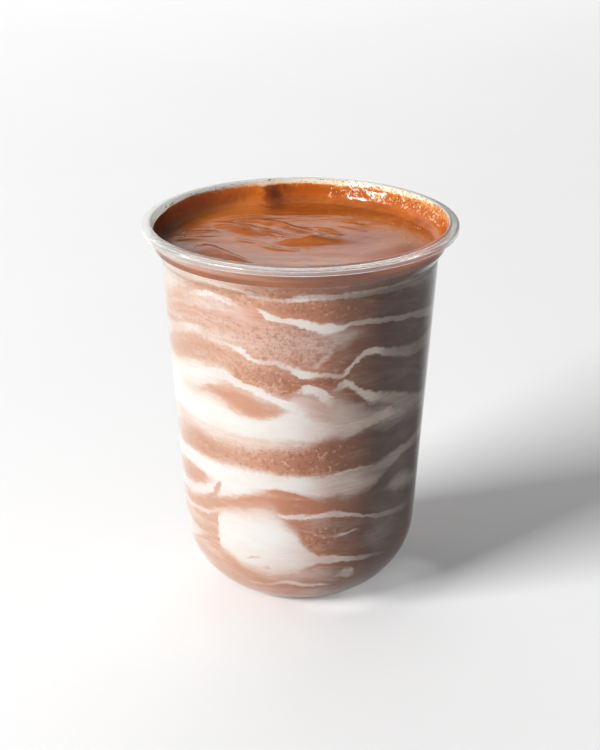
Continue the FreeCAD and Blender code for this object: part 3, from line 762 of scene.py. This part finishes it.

# The brown goes from light at the left to dark at the right: painted light and shade, darkest where the
# drink gets little light.
chocolate = (azimuth / 360.0 + 0.5).ramp([
    (0.0, (0.40, 0.18, 0.11)),
    (0.25, (0.62, 0.41, 0.30)),
    (0.36, (0.60, 0.37, 0.262)),
    (0.44, (0.635, 0.355, 0.24)),
    (0.51, (0.50, 0.215, 0.126)),
    (0.56, (0.29, 0.118, 0.068)),
    (0.61, (0.13, 0.052, 0.034)),
    (0.68, (0.085, 0.034, 0.024)),
    (0.78, (0.16, 0.070, 0.046)),
    (1.0, (0.40, 0.18, 0.11)),
], "EASE")
haze = place.stretch(1.0, 1.0, 3.6).grain(58.0, 4.0, 0.6)
strands = place.stretch(1.0, 1.0, 7.0).grain(210.0, 3.0, 0.6)
wisps = place.stretch(1.0, 1.0, 3.0).grain(260.0, 4.0, 0.7)
swayed = place.stretch(1.0, 1.0, 4.2) + drift.stretch(0.02, 0.02, 0.05)
veins = abs(swayed.grain(95.0, 2.0, 0.5) - 0.5).step(0.035, 0.0)
veins = veins * place.grain(60.0, 1.0, 0.5).step(0.45, 0.65)
cream = haze.ramp([
    (0.30, (0.80, 0.735, 0.675)),
    (0.50, (0.825, 0.795, 0.755)),
    (0.70, (0.835, 0.82, 0.795)),
])
# On the right, where the drink lies in shade, the cream is painted warmer: painted light.
cream = cream.mix((0.88, 0.77, 0.66, 1.0), azimuth.step(0.0, 40.0) * azimuth.step(150.0, 95.0))
clearer = 1.0 - azimuth.step(0.0, 42.0) * azimuth.step(150.0, 95.0) * 0.8
cloud = (haze.step(0.46, 0.74) * 0.36 + wisps.step(0.5, 0.75) * 0.16) * clearer
tone = chocolate.mix(cream, cloud)
tone = tone.mix((0.16, 0.055, 0.03, 1.0), strands.step(0.52, 0.72) * 0.18)
tone = tone.mix(cream, veins * 0.26 * clearer)
rich = chocolate.mix((0.44, 0.155, 0.075, 1.0), 0.30 - 0.25 * front.step(0.5, 0.72))
rich = rich.mix((0.85, 0.66, 0.50, 1.0), wisps.step(0.52, 0.76) * 0.22 * clearer)
cocoa = chocolate.mix((0.20, 0.055, 0.025, 1.0), 0.75)
streaks = strands.step(0.35, 0.65) * 0.5

# Each pour is laid over what came before, and milk counts how much of the surface is milk.
body = tone
nothing = start.math("ADD", 0.0, 0.0)
milk = nothing
inks = {"milk": cream, "brown": rich, "cocoa": cocoa}
away = 1.0 - facing
for around, reach, pours in (
    (front, facing, FRONT_POURS),
    (rear, away, wandering_pours(random.Random(AWAY_SEED))),
):
    for kind, softness, stops in pours:
        laid = body.node("Group", {"node_tree": pour(softness * SOFTER_BY + SOFTER_PLUS, stops)}, {
            "Across": around,
            "Height": level,
            "Reach": reach,
            "Streaks": streaks,
            "Under": body,
            "Ink": inks[kind],
            "Milk Under": milk,
            "Milk": float(kind == "milk"),
        })
        body = laid.also(1)
        milk = laid.also(2)
speckle = nothing
for stops in SPECKLED:
    zone = {"Across": front, "Height": level, "Reach": facing}
    speckle = start.node("Group", {"node_tree": pour(SPECKLE_SOFTNESS, stops)}, zone).at_least(speckle)
dots = place.grain(900.0, 1.0, 0.5).step(0.53, 0.62)
blots = place.stretch(1.0, 1.0, 1.4).grain(420.0, 2.0, 0.6).step(0.54, 0.66)
pale_dots = place.stretch(1.0, 1.0, 1.3).grain(640.0, 1.0, 0.5).step(0.56, 0.70)
body = body.mix(chocolate, speckle * (1.0 - milk) * 0.35)
body = body.mix((0.27, 0.095, 0.045, 1.0), dots * speckle * (1.0 - milk * 0.6) * 0.42)
body = body.mix((0.24, 0.085, 0.042, 1.0), blots * speckle * (1.0 - milk * 0.8) * 0.38)
body = body.mix((0.80, 0.62, 0.50, 1.0), pale_dots * speckle * (1.0 - milk) * 0.40)
smooth = start.node("BsdfPrincipled", {}, {
    "Base Color": body,
    "Roughness": 0.45,
    "IOR": 1.38,
    "Specular IOR Level": 0.15,
})
surface(start, smooth)
drink.data.materials.append(marbled)
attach(drink, "root")
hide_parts("marbled_smoothie")

# ---- The chocolate on top ----
# A thin layer of chocolate drink, stirred once and still: folds, a peak where the pour ended, and
# a bank that it left on the collar when the cup was tilted, thick at the drink and thin above.
DRINK_LEVEL = 109.2
# The solid's folds: middle, half length and width, turn in degrees, and rise, in millimetres. Its
# fourth fold isn't here, as it is drawn below as a crest.
FOLDS = [
    (3.0, 0.5, 8.0, 2.6, 3.0, 1.5),
    (-18.5, 11.5, 6.5, 2.4, -38.0, 0.8),
    (-4.0, 14.5, 11.0, 2.0, -39.0, 0.55),
    (-34.0, 2.5, 6.0, 2.0, 10.0, 0.45),
    (16.5, 16.0, 5.0, 2.0, -28.0, 0.4),
    (27.0, -6.0, 9.0, 5.0, 35.0, 0.3),
]
# Fine streaks drawn by the spoon: the start, bend and end of each curve, its rise, and how far it
# spreads on its left and on its right, in millimetres.
STREAKS = [
    ((-28.5, 19.5), (-14.0, 16.5), (-2.0, -2.6), 0.50, 2.2, 0.9),
    ((-26.5, 14.5), (-18.0, 15.0), (-10.5, 5.6), 0.40, 1.6, 1.0),
    ((-22.0, 18.8), (-16.5, 23.5), (-8.5, 17.0), 0.38, 1.8, 1.0),
    ((-10.5, 20.0), (-6.0, 18.5), (-3.0, 14.0), 0.35, 1.3, 0.8),
    ((-12.5, 9.8), (-6.0, 8.6), (1.2, 1.6), 0.40, 1.5, 0.9),
    ((-4.8, -2.4), (5.0, -3.0), (5.8, 9.5), 0.45, 1.0, 1.6),
    ((4.0, 13.4), (8.0, 10.5), (12.5, 5.6), 0.42, 1.6, 0.9),
    ((-12.5, -1.8), (-10.0, -8.8), (0.0, -8.6), 0.35, 1.8, 0.8),
    ((-39.5, 4.2), (-34.5, 4.2), (-28.5, 7.6), 0.42, 1.4, 0.8),
    ((-36.0, 9.5), (-31.0, 9.0), (-25.0, 10.4), 0.28, 1.2, 0.9),
    ((-30.0, 19.0), (-18.0, 29.5), (-8.0, 26.0), 0.40, 2.6, 1.2),
    ((-9.0, 26.0), (4.0, 26.6), (17.0, 25.4), 0.22, 2.0, 1.2),
    ((9.5, 16.5), (15.5, 14.5), (20.0, 10.0), 0.25, 1.3, 0.9),
    ((-20.0, 2.0), (-14.0, 0.0), (-8.0, -5.0), 0.22, 1.6, 1.0),
]
# The crest: a curve like those, steep on its left, and on its right falling slowly to a foot.
CREST = ((-30.5, -1.0), (-23.5, -11.5), (-14.0, -22.0))
CREST_RISE = 0.85
CREST_STEEP = 1.6
CREST_FALL = 0.19
CREST_FOOT = 9.0
CREST_REACH = 14.0
CREST_MIDDLE = 0.55
CREST_HALF = 0.42
MENISCUS_RISE = 0.5
MENISCUS_REACH = 2.0


def bend_of(points, count=40):
    """Points along the curve that two ends and a bend give, its directions, and shares of it."""
    first, bend, last = (np.array(point) for point in points)
    share = np.linspace(0.0, 1.0, count)[:, None]
    line = first * (1 - share) ** 2 + bend * 2 * share * (1 - share) + last * share ** 2
    way = (bend - first) * (1 - share) + (last - bend) * share
    return line, way / np.linalg.norm(way, axis=1)[:, None], share[:, 0]


def beside(x, y, points):
    """How far places are from a curve, which side they lie on, and how far along it."""
    line, way, share = bend_of(points)
    gaps = np.hypot(x[:, None] - line[:, 0], y[:, None] - line[:, 1])
    nearest = gaps.argmin(axis=1)
    off_x = x - line[nearest, 0]
    off_y = y - line[nearest, 1]
    side = way[nearest, 0] * off_y - way[nearest, 1] * off_x
    return gaps[np.arange(len(x)), nearest], side, share[nearest]


def stirred_height(x, y):
    """The height of the chocolate at places: level, folds, streaks, wrinkles, rise at the wall."""
    height = np.full(len(x), DRINK_LEVEL)
    for mid_x, mid_y, along, across, turn, rise in FOLDS:
        angle = math.radians(turn)
        off_x = x - mid_x
        off_y = y - mid_y
        length = off_x * math.cos(angle) + off_y * math.sin(angle)
        width = off_y * math.cos(angle) - off_x * math.sin(angle)
        height += rise * np.exp(-((length / along) ** 2) - (width / across) ** 2)
    for *curve, rise, left, right in STREAKS:
        gap, side, share = beside(x, y, curve)
        spread = np.where(side > 0, left, right)
        height += rise * np.exp(-((gap / spread) ** 2)) * np.sin(math.pi * share) ** 0.6
    gap, side, share = beside(x, y, CREST)
    steep = np.exp(-((gap / CREST_STEEP) ** 2))
    fall = np.where(side > 0, steep, 1.0 - CREST_FALL * np.minimum(gap, CREST_FOOT))
    along = np.exp(-(((share - CREST_MIDDLE) / CREST_HALF) ** 4))
    height += CREST_RISE * fall * along * (gap < CREST_REACH)
    # The wrinkles calm down towards the right, from 12 mm off the axis to 26 mm.
    calm = 1.0 - 0.85 * np.clip((x - 12.0) / 14.0, 0.0, 1.0)
    for number in range(len(x)):
        here = Vector((x[number] * 0.05, y[number] * 0.13, 0.3))
        fine = Vector((x[number] * 0.30, y[number] * 0.75, 4.0))
        wrinkle = 0.19 * noise.fractal(here, 1.0, 2.1, 2) + 0.03 * noise.noise(fine)
        height[number] += wrinkle * calm[number]
    gap = np.maximum(DRINK_EDGE - np.hypot(x, y), 0.0)
    return height + MENISCUS_RISE * np.exp(-gap / MENISCUS_REACH)


# The bank on the collar: azimuth in degrees, the height of its upper edge, and its thickness at
# the drink, in millimetres. Each lump on it has an azimuth, a height, half its width in degrees
# and in millimetres, and its thickness.
BANK = [
    (-180, 116.0, 1.9), (-168, 115.95, 2.6), (-161, 115.4, 2.2), (-150, 115.1, 1.2),
    (-135, 115.0, 1.0), (-119, 114.5, 0.9), (-107, 113.8, 0.9), (-92, 113.6, 0.8),
    (-75, 113.9, 0.7), (-45, 114.3, 0.5), (0, 114.2, 0.4), (40, 114.6, 0.6), (70, 115.4, 1.0),
    (95, 115.9, 1.5), (115, 116.1, 2.0), (135, 116.15, 2.3), (155, 116.15, 2.4), (170, 116.0, 2.1),
    (180, 116.0, 1.9),
]
LUMPS = [
    (-165.5, 112.0, 4.5, 3.2, 1.3), (-173, 113.6, 3.5, 1.6, 0.5), (166, 112.0, 6.0, 1.6, 0.35),
    (153, 111.6, 5.0, 1.8, 0.45), (136, 112.4, 5.0, 1.6, 0.5), (146, 114.0, 4.0, 1.2, 0.3),
    (122, 111.8, 5.0, 1.8, 0.4), (106, 112.4, 5.0, 1.6, 0.3), (-148, 112.2, 6.0, 1.4, 0.3),
    (-128, 111.4, 6.0, 1.2, 0.35), (-104, 111.0, 5.0, 1.2, 0.3),
]
COLLAR_SKIN = WALL / MM - INTO_WALL / MM
DRINK_EDGE = wall_radius(DRINK_LEVEL * MM, COLLAR_SKIN * MM) / MM
# The arc where the surface turns up into the bank, and the height at which the bank's foot counts.
FILLET = 1.5
FILLET_TURN = math.radians(68)
FOOT_ABOVE = 0.8
# The marbling starts at the collar's foot and goes on down at these heights.
BELOW_COLLAR = (109.3, SHOULDER_FOOT / MM, LAYER_FOOT / MM)
TOP_AROUND = 480
TOP_RINGS = 84
FILLET_ROWS = 8
BANK_ROWS = 20
SIDE_ROWS = 18


def bank_at(degrees):
    """The height of the bank's upper edge and its thickness at the drink, with soft turns."""
    for (low, edge, thick), (high, next_edge, next_thick) in zip(BANK, BANK[1:]):
        if degrees <= high:
            share = (1 - math.cos(math.pi * (degrees - low) / (high - low))) / 2
            return edge + (next_edge - edge) * share, thick + (next_thick - thick) * share
    return BANK[-1][1:]


angles = np.radians(np.arange(TOP_AROUND) * 360.0 / TOP_AROUND - 180.0)
edges = []
thicks = []
for angle in angles:
    edge, thick = bank_at(math.degrees(angle))
    round_way = Vector((math.sin(angle) * 9, math.cos(angle) * 9, 0.0))
    ragged = noise.fractal(round_way, 1.0, 2.2, 4)
    edges.append(min(edge + 0.26 * ragged, RIM_HEIGHT / MM - 0.2))
    thicks.append(thick * (1.0 + 0.25 * noise.noise(round_way * 0.5)))
edges = np.array(edges)
thicks = np.array(thicks)
wall_way = np.stack([np.sin(angles), -np.cos(angles)])


def bank_thickness(heights):
    """How thick the bank is at a height at every azimuth: a wedge with lumps and froth on it."""
    share = np.clip((heights - DRINK_LEVEL) / (edges - DRINK_LEVEL), 0.0, 1.0)
    toe = np.exp(-(((heights - DRINK_LEVEL) / 1.2) ** 2))
    thick = 0.10 + thicks * (0.6 * (1 - share) + 0.45 * toe)
    degrees = np.degrees(angles)
    for azimuth, height, across, along, rise in LUMPS:
        off = (degrees - azimuth + 180.0) % 360.0 - 180.0
        thick += rise * np.exp(-((off / across) ** 2) - ((heights - height) / along) ** 2)
    for number, angle in enumerate(angles):
        way = Vector((math.sin(angle), math.cos(angle), heights[number] * 0.024)) * 26
        lump = 0.14 * noise.noise(way) + 0.05 * noise.noise(way * 3.1)
        thick[number] += lump * (1.0 - 0.75 * share[number])
    return thick * np.sqrt(np.maximum(1 - share ** 8, 0.0))


def wall_at(heights, skin=0.0):
    """The cup's outer radius at heights, a skin's depth inside it, all in millimetres."""
    return np.array([wall_radius(height * MM, skin * MM) / MM for height in heights])


level_all_round = np.full(TOP_AROUND, DRINK_LEVEL)
foot_reach = wall_at(level_all_round) - WALL / MM - bank_thickness(level_all_round + FOOT_ABOVE)
rows = []
for ring in range(1, TOP_RINGS + 1):
    reach = (foot_reach - FILLET) * (ring / TOP_RINGS) ** 0.9
    x = reach * wall_way[0]
    y = reach * wall_way[1]
    rows.append((x, y, stirred_height(x, y)))
brink_height = rows[-1][2]
for row in range(1, FILLET_ROWS + 1):
    turn = FILLET_TURN * row / FILLET_ROWS
    height = brink_height + FILLET * (1 - math.cos(turn))
    wedge = wall_at(height) - WALL / MM - bank_thickness(height)
    share = (row / FILLET_ROWS) ** 2
    reach = foot_reach - FILLET + FILLET * math.sin(turn)
    reach = reach * (1 - share) + wedge * share
    rows.append((reach * wall_way[0], reach * wall_way[1], height))
bank_start = rows[-1][2]
for row in range(1, BANK_ROWS + 1):
    height = bank_start + (edges - bank_start) * row / BANK_ROWS
    reach = wall_at(height) - WALL / MM - np.maximum(bank_thickness(height), 0.0)
    rows.append((reach * wall_way[0], reach * wall_way[1], height))
collar_foot = COLLAR_FOOT / MM
side_heights = [edges + (collar_foot - edges) * row / SIDE_ROWS for row in range(SIDE_ROWS + 1)]
side_heights += [np.full(TOP_AROUND, height) for height in BELOW_COLLAR]
for height in side_heights:
    reach = wall_at(height, COLLAR_SKIN)
    rows.append((reach * wall_way[0], reach * wall_way[1], height))

middle = stirred_height(np.zeros(1), np.zeros(1))[0]
top_verts = [(0.0, 0.0, middle * MM)]
for x, y, height in rows:
    top_verts.extend(zip((x * MM).tolist(), (y * MM).tolist(), (height * MM).tolist()))
top_faces = []
finishes = []
marbled_from = len(rows) - 1 - len(BELOW_COLLAR)
for step in range(TOP_AROUND):
    after = (step + 1) % TOP_AROUND
    top_faces.append((0, 1 + step, 1 + after))
    finishes.append(0)
    for ring in range(len(rows) - 1):
        inner = 1 + ring * TOP_AROUND
        outer = inner + TOP_AROUND
        top_faces.append((inner + step, outer + step, outer + after, inner + after))
        finishes.append(int(ring >= marbled_from))
last = 1 + (len(rows) - 1) * TOP_AROUND
top_faces.append(tuple(last + step for step in reversed(range(TOP_AROUND))))
finishes.append(1)
top = shown("stirred_chocolate", top_verts, top_faces)
top.data.polygons.foreach_set("material_index", finishes)

glossy, start, place = finish_for("wet_chocolate")
azimuth = place.azimuth()
reach = place.reach()
mm_high = place.part(2) * 1000.0
swirl = place.stretch(1.0, 1.7, 1.0).grain(42.0, 4.0, 0.6)
fine = place.stretch(1.0, 1.8, 1.0).grain(230.0, 3.0, 0.6)
deep = (swirl * 0.65 + fine * 0.35).ramp([
    (0.32, (0.22, 0.046, 0.007)),
    (0.52, (0.33, 0.082, 0.012)),
    (0.72, (0.44, 0.135, 0.026)),
])
# On the left the bank is painted darkest at its middle: painted shade, also where the drink beside it
# mirrors that shaded wall. Behind it lies a warm painted glow, painted light where the bank faces away from
# the lamp.
painted_shade_left = abs(azimuth + 95.0).step(34.0, 6.0)
painted_glow_left_back = abs(azimuth + 130.0).step(48.0, 20.0)
painted_shade_left_edge = painted_shade_left * reach.step(0.0365, 0.0400)
deep = deep.mix((0.80, 0.24, 0.045, 1.0), painted_glow_left_back * reach.step(0.026, 0.039) * 0.50)
deep = deep.mix((0.045, 0.012, 0.006, 1.0), painted_shade_left * reach.step(0.0365, 0.0415) * 0.85)
blotch = place.stretch(1.0, 1.0, 0.8).grain(120.0, 4.0, 0.65)
froth = place.grain(640.0, 2.0, 0.6)
far_side = abs(azimuth).step(100.0, 150.0)
# The bank's colour: the thinner the drink is on the wall, the paler.
thin = mm_high.step(110.5, 116.2) * (0.62 + 0.75 * far_side * mm_high.step(114.1, 115.6))
thin = thin + (blotch - 0.5) * 0.9 + (froth - 0.5) * 0.8
amber = thin.step(0.25, 0.95).ramp([
    (0.0, (0.47, 0.10, 0.011)),
    (0.40, (0.68, 0.18, 0.022)),
    (0.66, (0.78, 0.33, 0.075)),
    (0.84, (0.86, 0.62, 0.36)),
    (1.0, (0.90, 0.80, 0.64)),
])
# Painted light and shade on the bank: the warm glow at the left back and the dark at the left.
amber = amber.mix((0.95, 0.28, 0.04, 1.0), painted_glow_left_back * 0.42)
amber = amber.mix((0.09, 0.020, 0.006, 1.0), painted_shade_left * mm_high.step(114.6, 113.0) * 0.75)
lump_way = azimuth + 170.0 + (swirl - 0.5) * 12.0 + (fine - 0.5) * 14.0
lump = abs(lump_way).step(6.6, 2.4) * mm_high.step(115.2, 114.2) * reach.step(0.0325, 0.0365)
# Milk in the chocolate where it touches the collar, seen from outside. On the shaded right it is painted a
# bright orange, which is painted light.
collar_milk_and_painted_light = (azimuth / 360.0 + 0.5).ramp([
    (0.22, (0.46, 0.098, 0.011, 0.0)),
    (0.28, (0.86, 0.78, 0.71, 0.95)),
    (0.34, (0.85, 0.72, 0.62, 0.95)),
    (0.39, (0.84, 0.50, 0.38, 0.95)),
    (0.45, (0.80, 0.36, 0.20, 0.95)),
    (0.51, (0.70, 0.26, 0.12, 0.9)),
    (0.56, (0.58, 0.17, 0.06, 0.9)),
    (0.61, (0.95, 0.30, 0.09, 0.9)),
    (0.68, (0.98, 0.24, 0.02, 0.9)),
    (0.76, (0.46, 0.098, 0.011, 0.0)),
], "EASE")
on_wall = (reach * 1000.0 - (mm_high - DRINK_LEVEL) * 0.22).step(42.6, 42.9)
bank_colour = amber.mix(collar_milk_and_painted_light, collar_milk_and_painted_light.also(1) * on_wall)
deep = deep.mix(bank_colour, mm_high.step(110.6, 112.0))
deep = deep.mix((0.17, 0.032, 0.007, 1.0), lump * 0.75)
frothy = abs(azimuth).step(85.0, 130.0) * mm_high.step(110.6, 112.0)
cells = place.node("TexVoronoi", {}, {"Vector": place, "Scale": 1100.0})
bubbly = fine * 0.5 + cells * frothy * 0.55
lumps = start.node("Bump", {}, {"Strength": 0.30, "Distance": 0.0003, "Height": bubbly})
sheen = (-place.part(1)).step(0.002, 0.024) * abs(place.part(0)).step(0.034, 0.016)
sheen = sheen.at_least(mm_high.step(111.0, 112.4))
wet = start.node("BsdfPrincipled", {}, {
    "Base Color": deep,
    "Roughness": 0.15 + 0.30 * painted_shade_left_edge,
    "IOR": 1.50,
    "Coat Weight": (0.06 + 0.42 * sheen) * (1.0 - painted_shade_left_edge),
    "Coat Roughness": 0.06,
    "Normal": lumps,
})
glow_through = start.node("BsdfTranslucent", {}, {"Color": deep})
lit = mm_high.step(110.2, 112.5) * 0.38
surface(start, start.node("MixShader", {}, {0: lit, 1: wet, 2: glow_through}))
top.data.materials.append(glossy)
top.data.materials.append(marbled)
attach(top, "root")
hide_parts("chocolate_top")

# ---- Froth and cocoa ----
# Fine bubbles cling to the bank where the drink was shaken and poured, most of them at the back
# and right, and a few float at the left. Grains of cocoa dried on the wall above the bank.
# The froth lies between two azimuths and two rows of the bank: its count, least and greatest size.
FROTH = [
    (96, 168, 3, 18, 420, 0.10, 0.34),
    (104, 160, 4, 15, 150, 0.25, 0.50),
    (80, 180, 14, 19, 420, 0.07, 0.22),
    (-180, -120, 15, 19, 160, 0.06, 0.18),
    (-120, -84, 10, 18, 60, 0.06, 0.20),
    (-100, -78, 0, 8, 40, 0.10, 0.30),
]
FLOATING = 60
FROTH_SEED = 23
# The grains lie in groups: azimuth, height and count.
SPECKS = [
    (-146, 115.5, 3), (-143, 115.7, 2), (-116, 115.0, 4), (-113, 115.3, 2), (-131, 115.6, 2),
    (-152, 115.7, 2), (-168, 116.0, 2), (161, 115.7, 2), (156, 115.9, 2), (170, 115.8, 2),
    (148, 115.6, 1), (118, 115.8, 2), (96, 115.6, 2), (-95, 114.6, 2),
]
SPECK_SEED = 7


def beads(name, seeds):
    """One mesh of small domes: each has a place, the way it faces, a size and a flatness."""
    ball = bmesh.new()
    bmesh.ops.create_icosphere(ball, subdivisions=2, radius=1.0)
    shape = np.array([vert.co[:] for vert in ball.verts])
    sides = np.array([[vert.index for vert in face.verts] for face in ball.faces])
    ball.free()
    verts = []
    faces = []
    for number, (spot, way, size, flatness) in enumerate(seeds):
        turn = np.array(Vector(way).to_track_quat("Z", "Y").to_matrix())
        bumps = 1.0 + 0.12 * np.sin(shape @ np.array([3.1, 2.3, 4.7]) + number)
        dome = shape * bumps[:, None] * np.array([1.0, 1.0, flatness])
        faces.append(sides + len(shape) * number)
        verts.append((dome @ turn.T) * size + np.array(spot))
    return shown(name, (np.concatenate(verts) * MM).tolist(), np.concatenate(faces).tolist())


def column_at(degrees):
    """The number of the column of the chocolate's mesh at an azimuth."""
    return int((degrees + 180.0) / 360.0 * TOP_AROUND) % TOP_AROUND


froth_maker = random.Random(FROTH_SEED)
first_bank_row = TOP_RINGS + FILLET_ROWS
froth_seeds = []
for low, high, low_row, high_row, count, least, most in FROTH:
    for number in range(count):
        at = column_at(froth_maker.uniform(low, high))
        x, y, height = rows[first_bank_row + froth_maker.randint(low_row, high_row)]
        way = (-x[at], -y[at], 14.0)
        size = least + (most - least) * froth_maker.random() ** 2.5
        up_to = RIM_HEIGHT / MM - 1.2 * size
        spot = (x[at], y[at], min(height[at] + froth_maker.uniform(-0.15, 0.15), up_to))
        froth_seeds.append((spot, way, size, froth_maker.uniform(0.45, 0.8)))
for number in range(FLOATING):
    sides = [froth_maker.uniform(-112, -70), froth_maker.uniform(60, 130)]
    at = column_at(froth_maker.choice(sides))
    x, y, height = rows[froth_maker.randint(TOP_RINGS - 24, TOP_RINGS - 1)]
    size = froth_maker.uniform(0.10, 0.32)
    froth_seeds.append(((x[at], y[at], height[at]), (0.0, 0.0, 1.0), size, 0.5))
froth_beads = beads("froth_bubbles", froth_seeds)
bubble_skin, start, place = finish_for("froth_of_the_drink")
tint = place.grain(900.0, 1.0, 0.5).ramp([
    (0.30, (0.50, 0.14, 0.02)),
    (0.50, (0.76, 0.34, 0.09)),
    (0.72, (0.90, 0.66, 0.38)),
])
bubble = start.node("BsdfPrincipled", {}, {
    "Base Color": tint,
    "Roughness": 0.12,
    "IOR": 1.45,
    "Coat Weight": 0.6,
    "Coat Roughness": 0.05,
})
through = start.node("BsdfTranslucent", {}, {"Color": tint})
surface(start, start.node("MixShader", {}, {0: 0.35, 1: bubble, 2: through}))
froth_beads.data.materials.append(bubble_skin)
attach(froth_beads, "root")

speck_maker = random.Random(SPECK_SEED)
speck_seeds = []
for degrees, height, count in SPECKS:
    for number in range(count):
        angle = math.radians(degrees + speck_maker.uniform(-2.2, 2.2))
        at = min(height + speck_maker.uniform(-0.35, 0.35), RIM_HEIGHT / MM - 0.4)
        size = speck_maker.uniform(0.12, 0.27)
        reach = wall_radius(at * MM) / MM - WALL / MM - 0.02
        spot = (reach * math.sin(angle), -reach * math.cos(angle), at)
        speck_seeds.append((spot, (-spot[0], -spot[1], 0.0), size, 0.6))
specks = beads("cocoa_grains", speck_seeds)
dry, start, place = finish_for("dried_cocoa")
cocoa_brown = place.grain(2000.0, 1.0, 0.5).ramp([
    (0.3, (0.035, 0.010, 0.005)),
    (0.7, (0.10, 0.030, 0.012)),
])
surface(start, start.node("BsdfPrincipled", {}, {"Base Color": cocoa_brown, "Roughness": 0.6}))
specks.data.materials.append(dry)
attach(specks, "root")
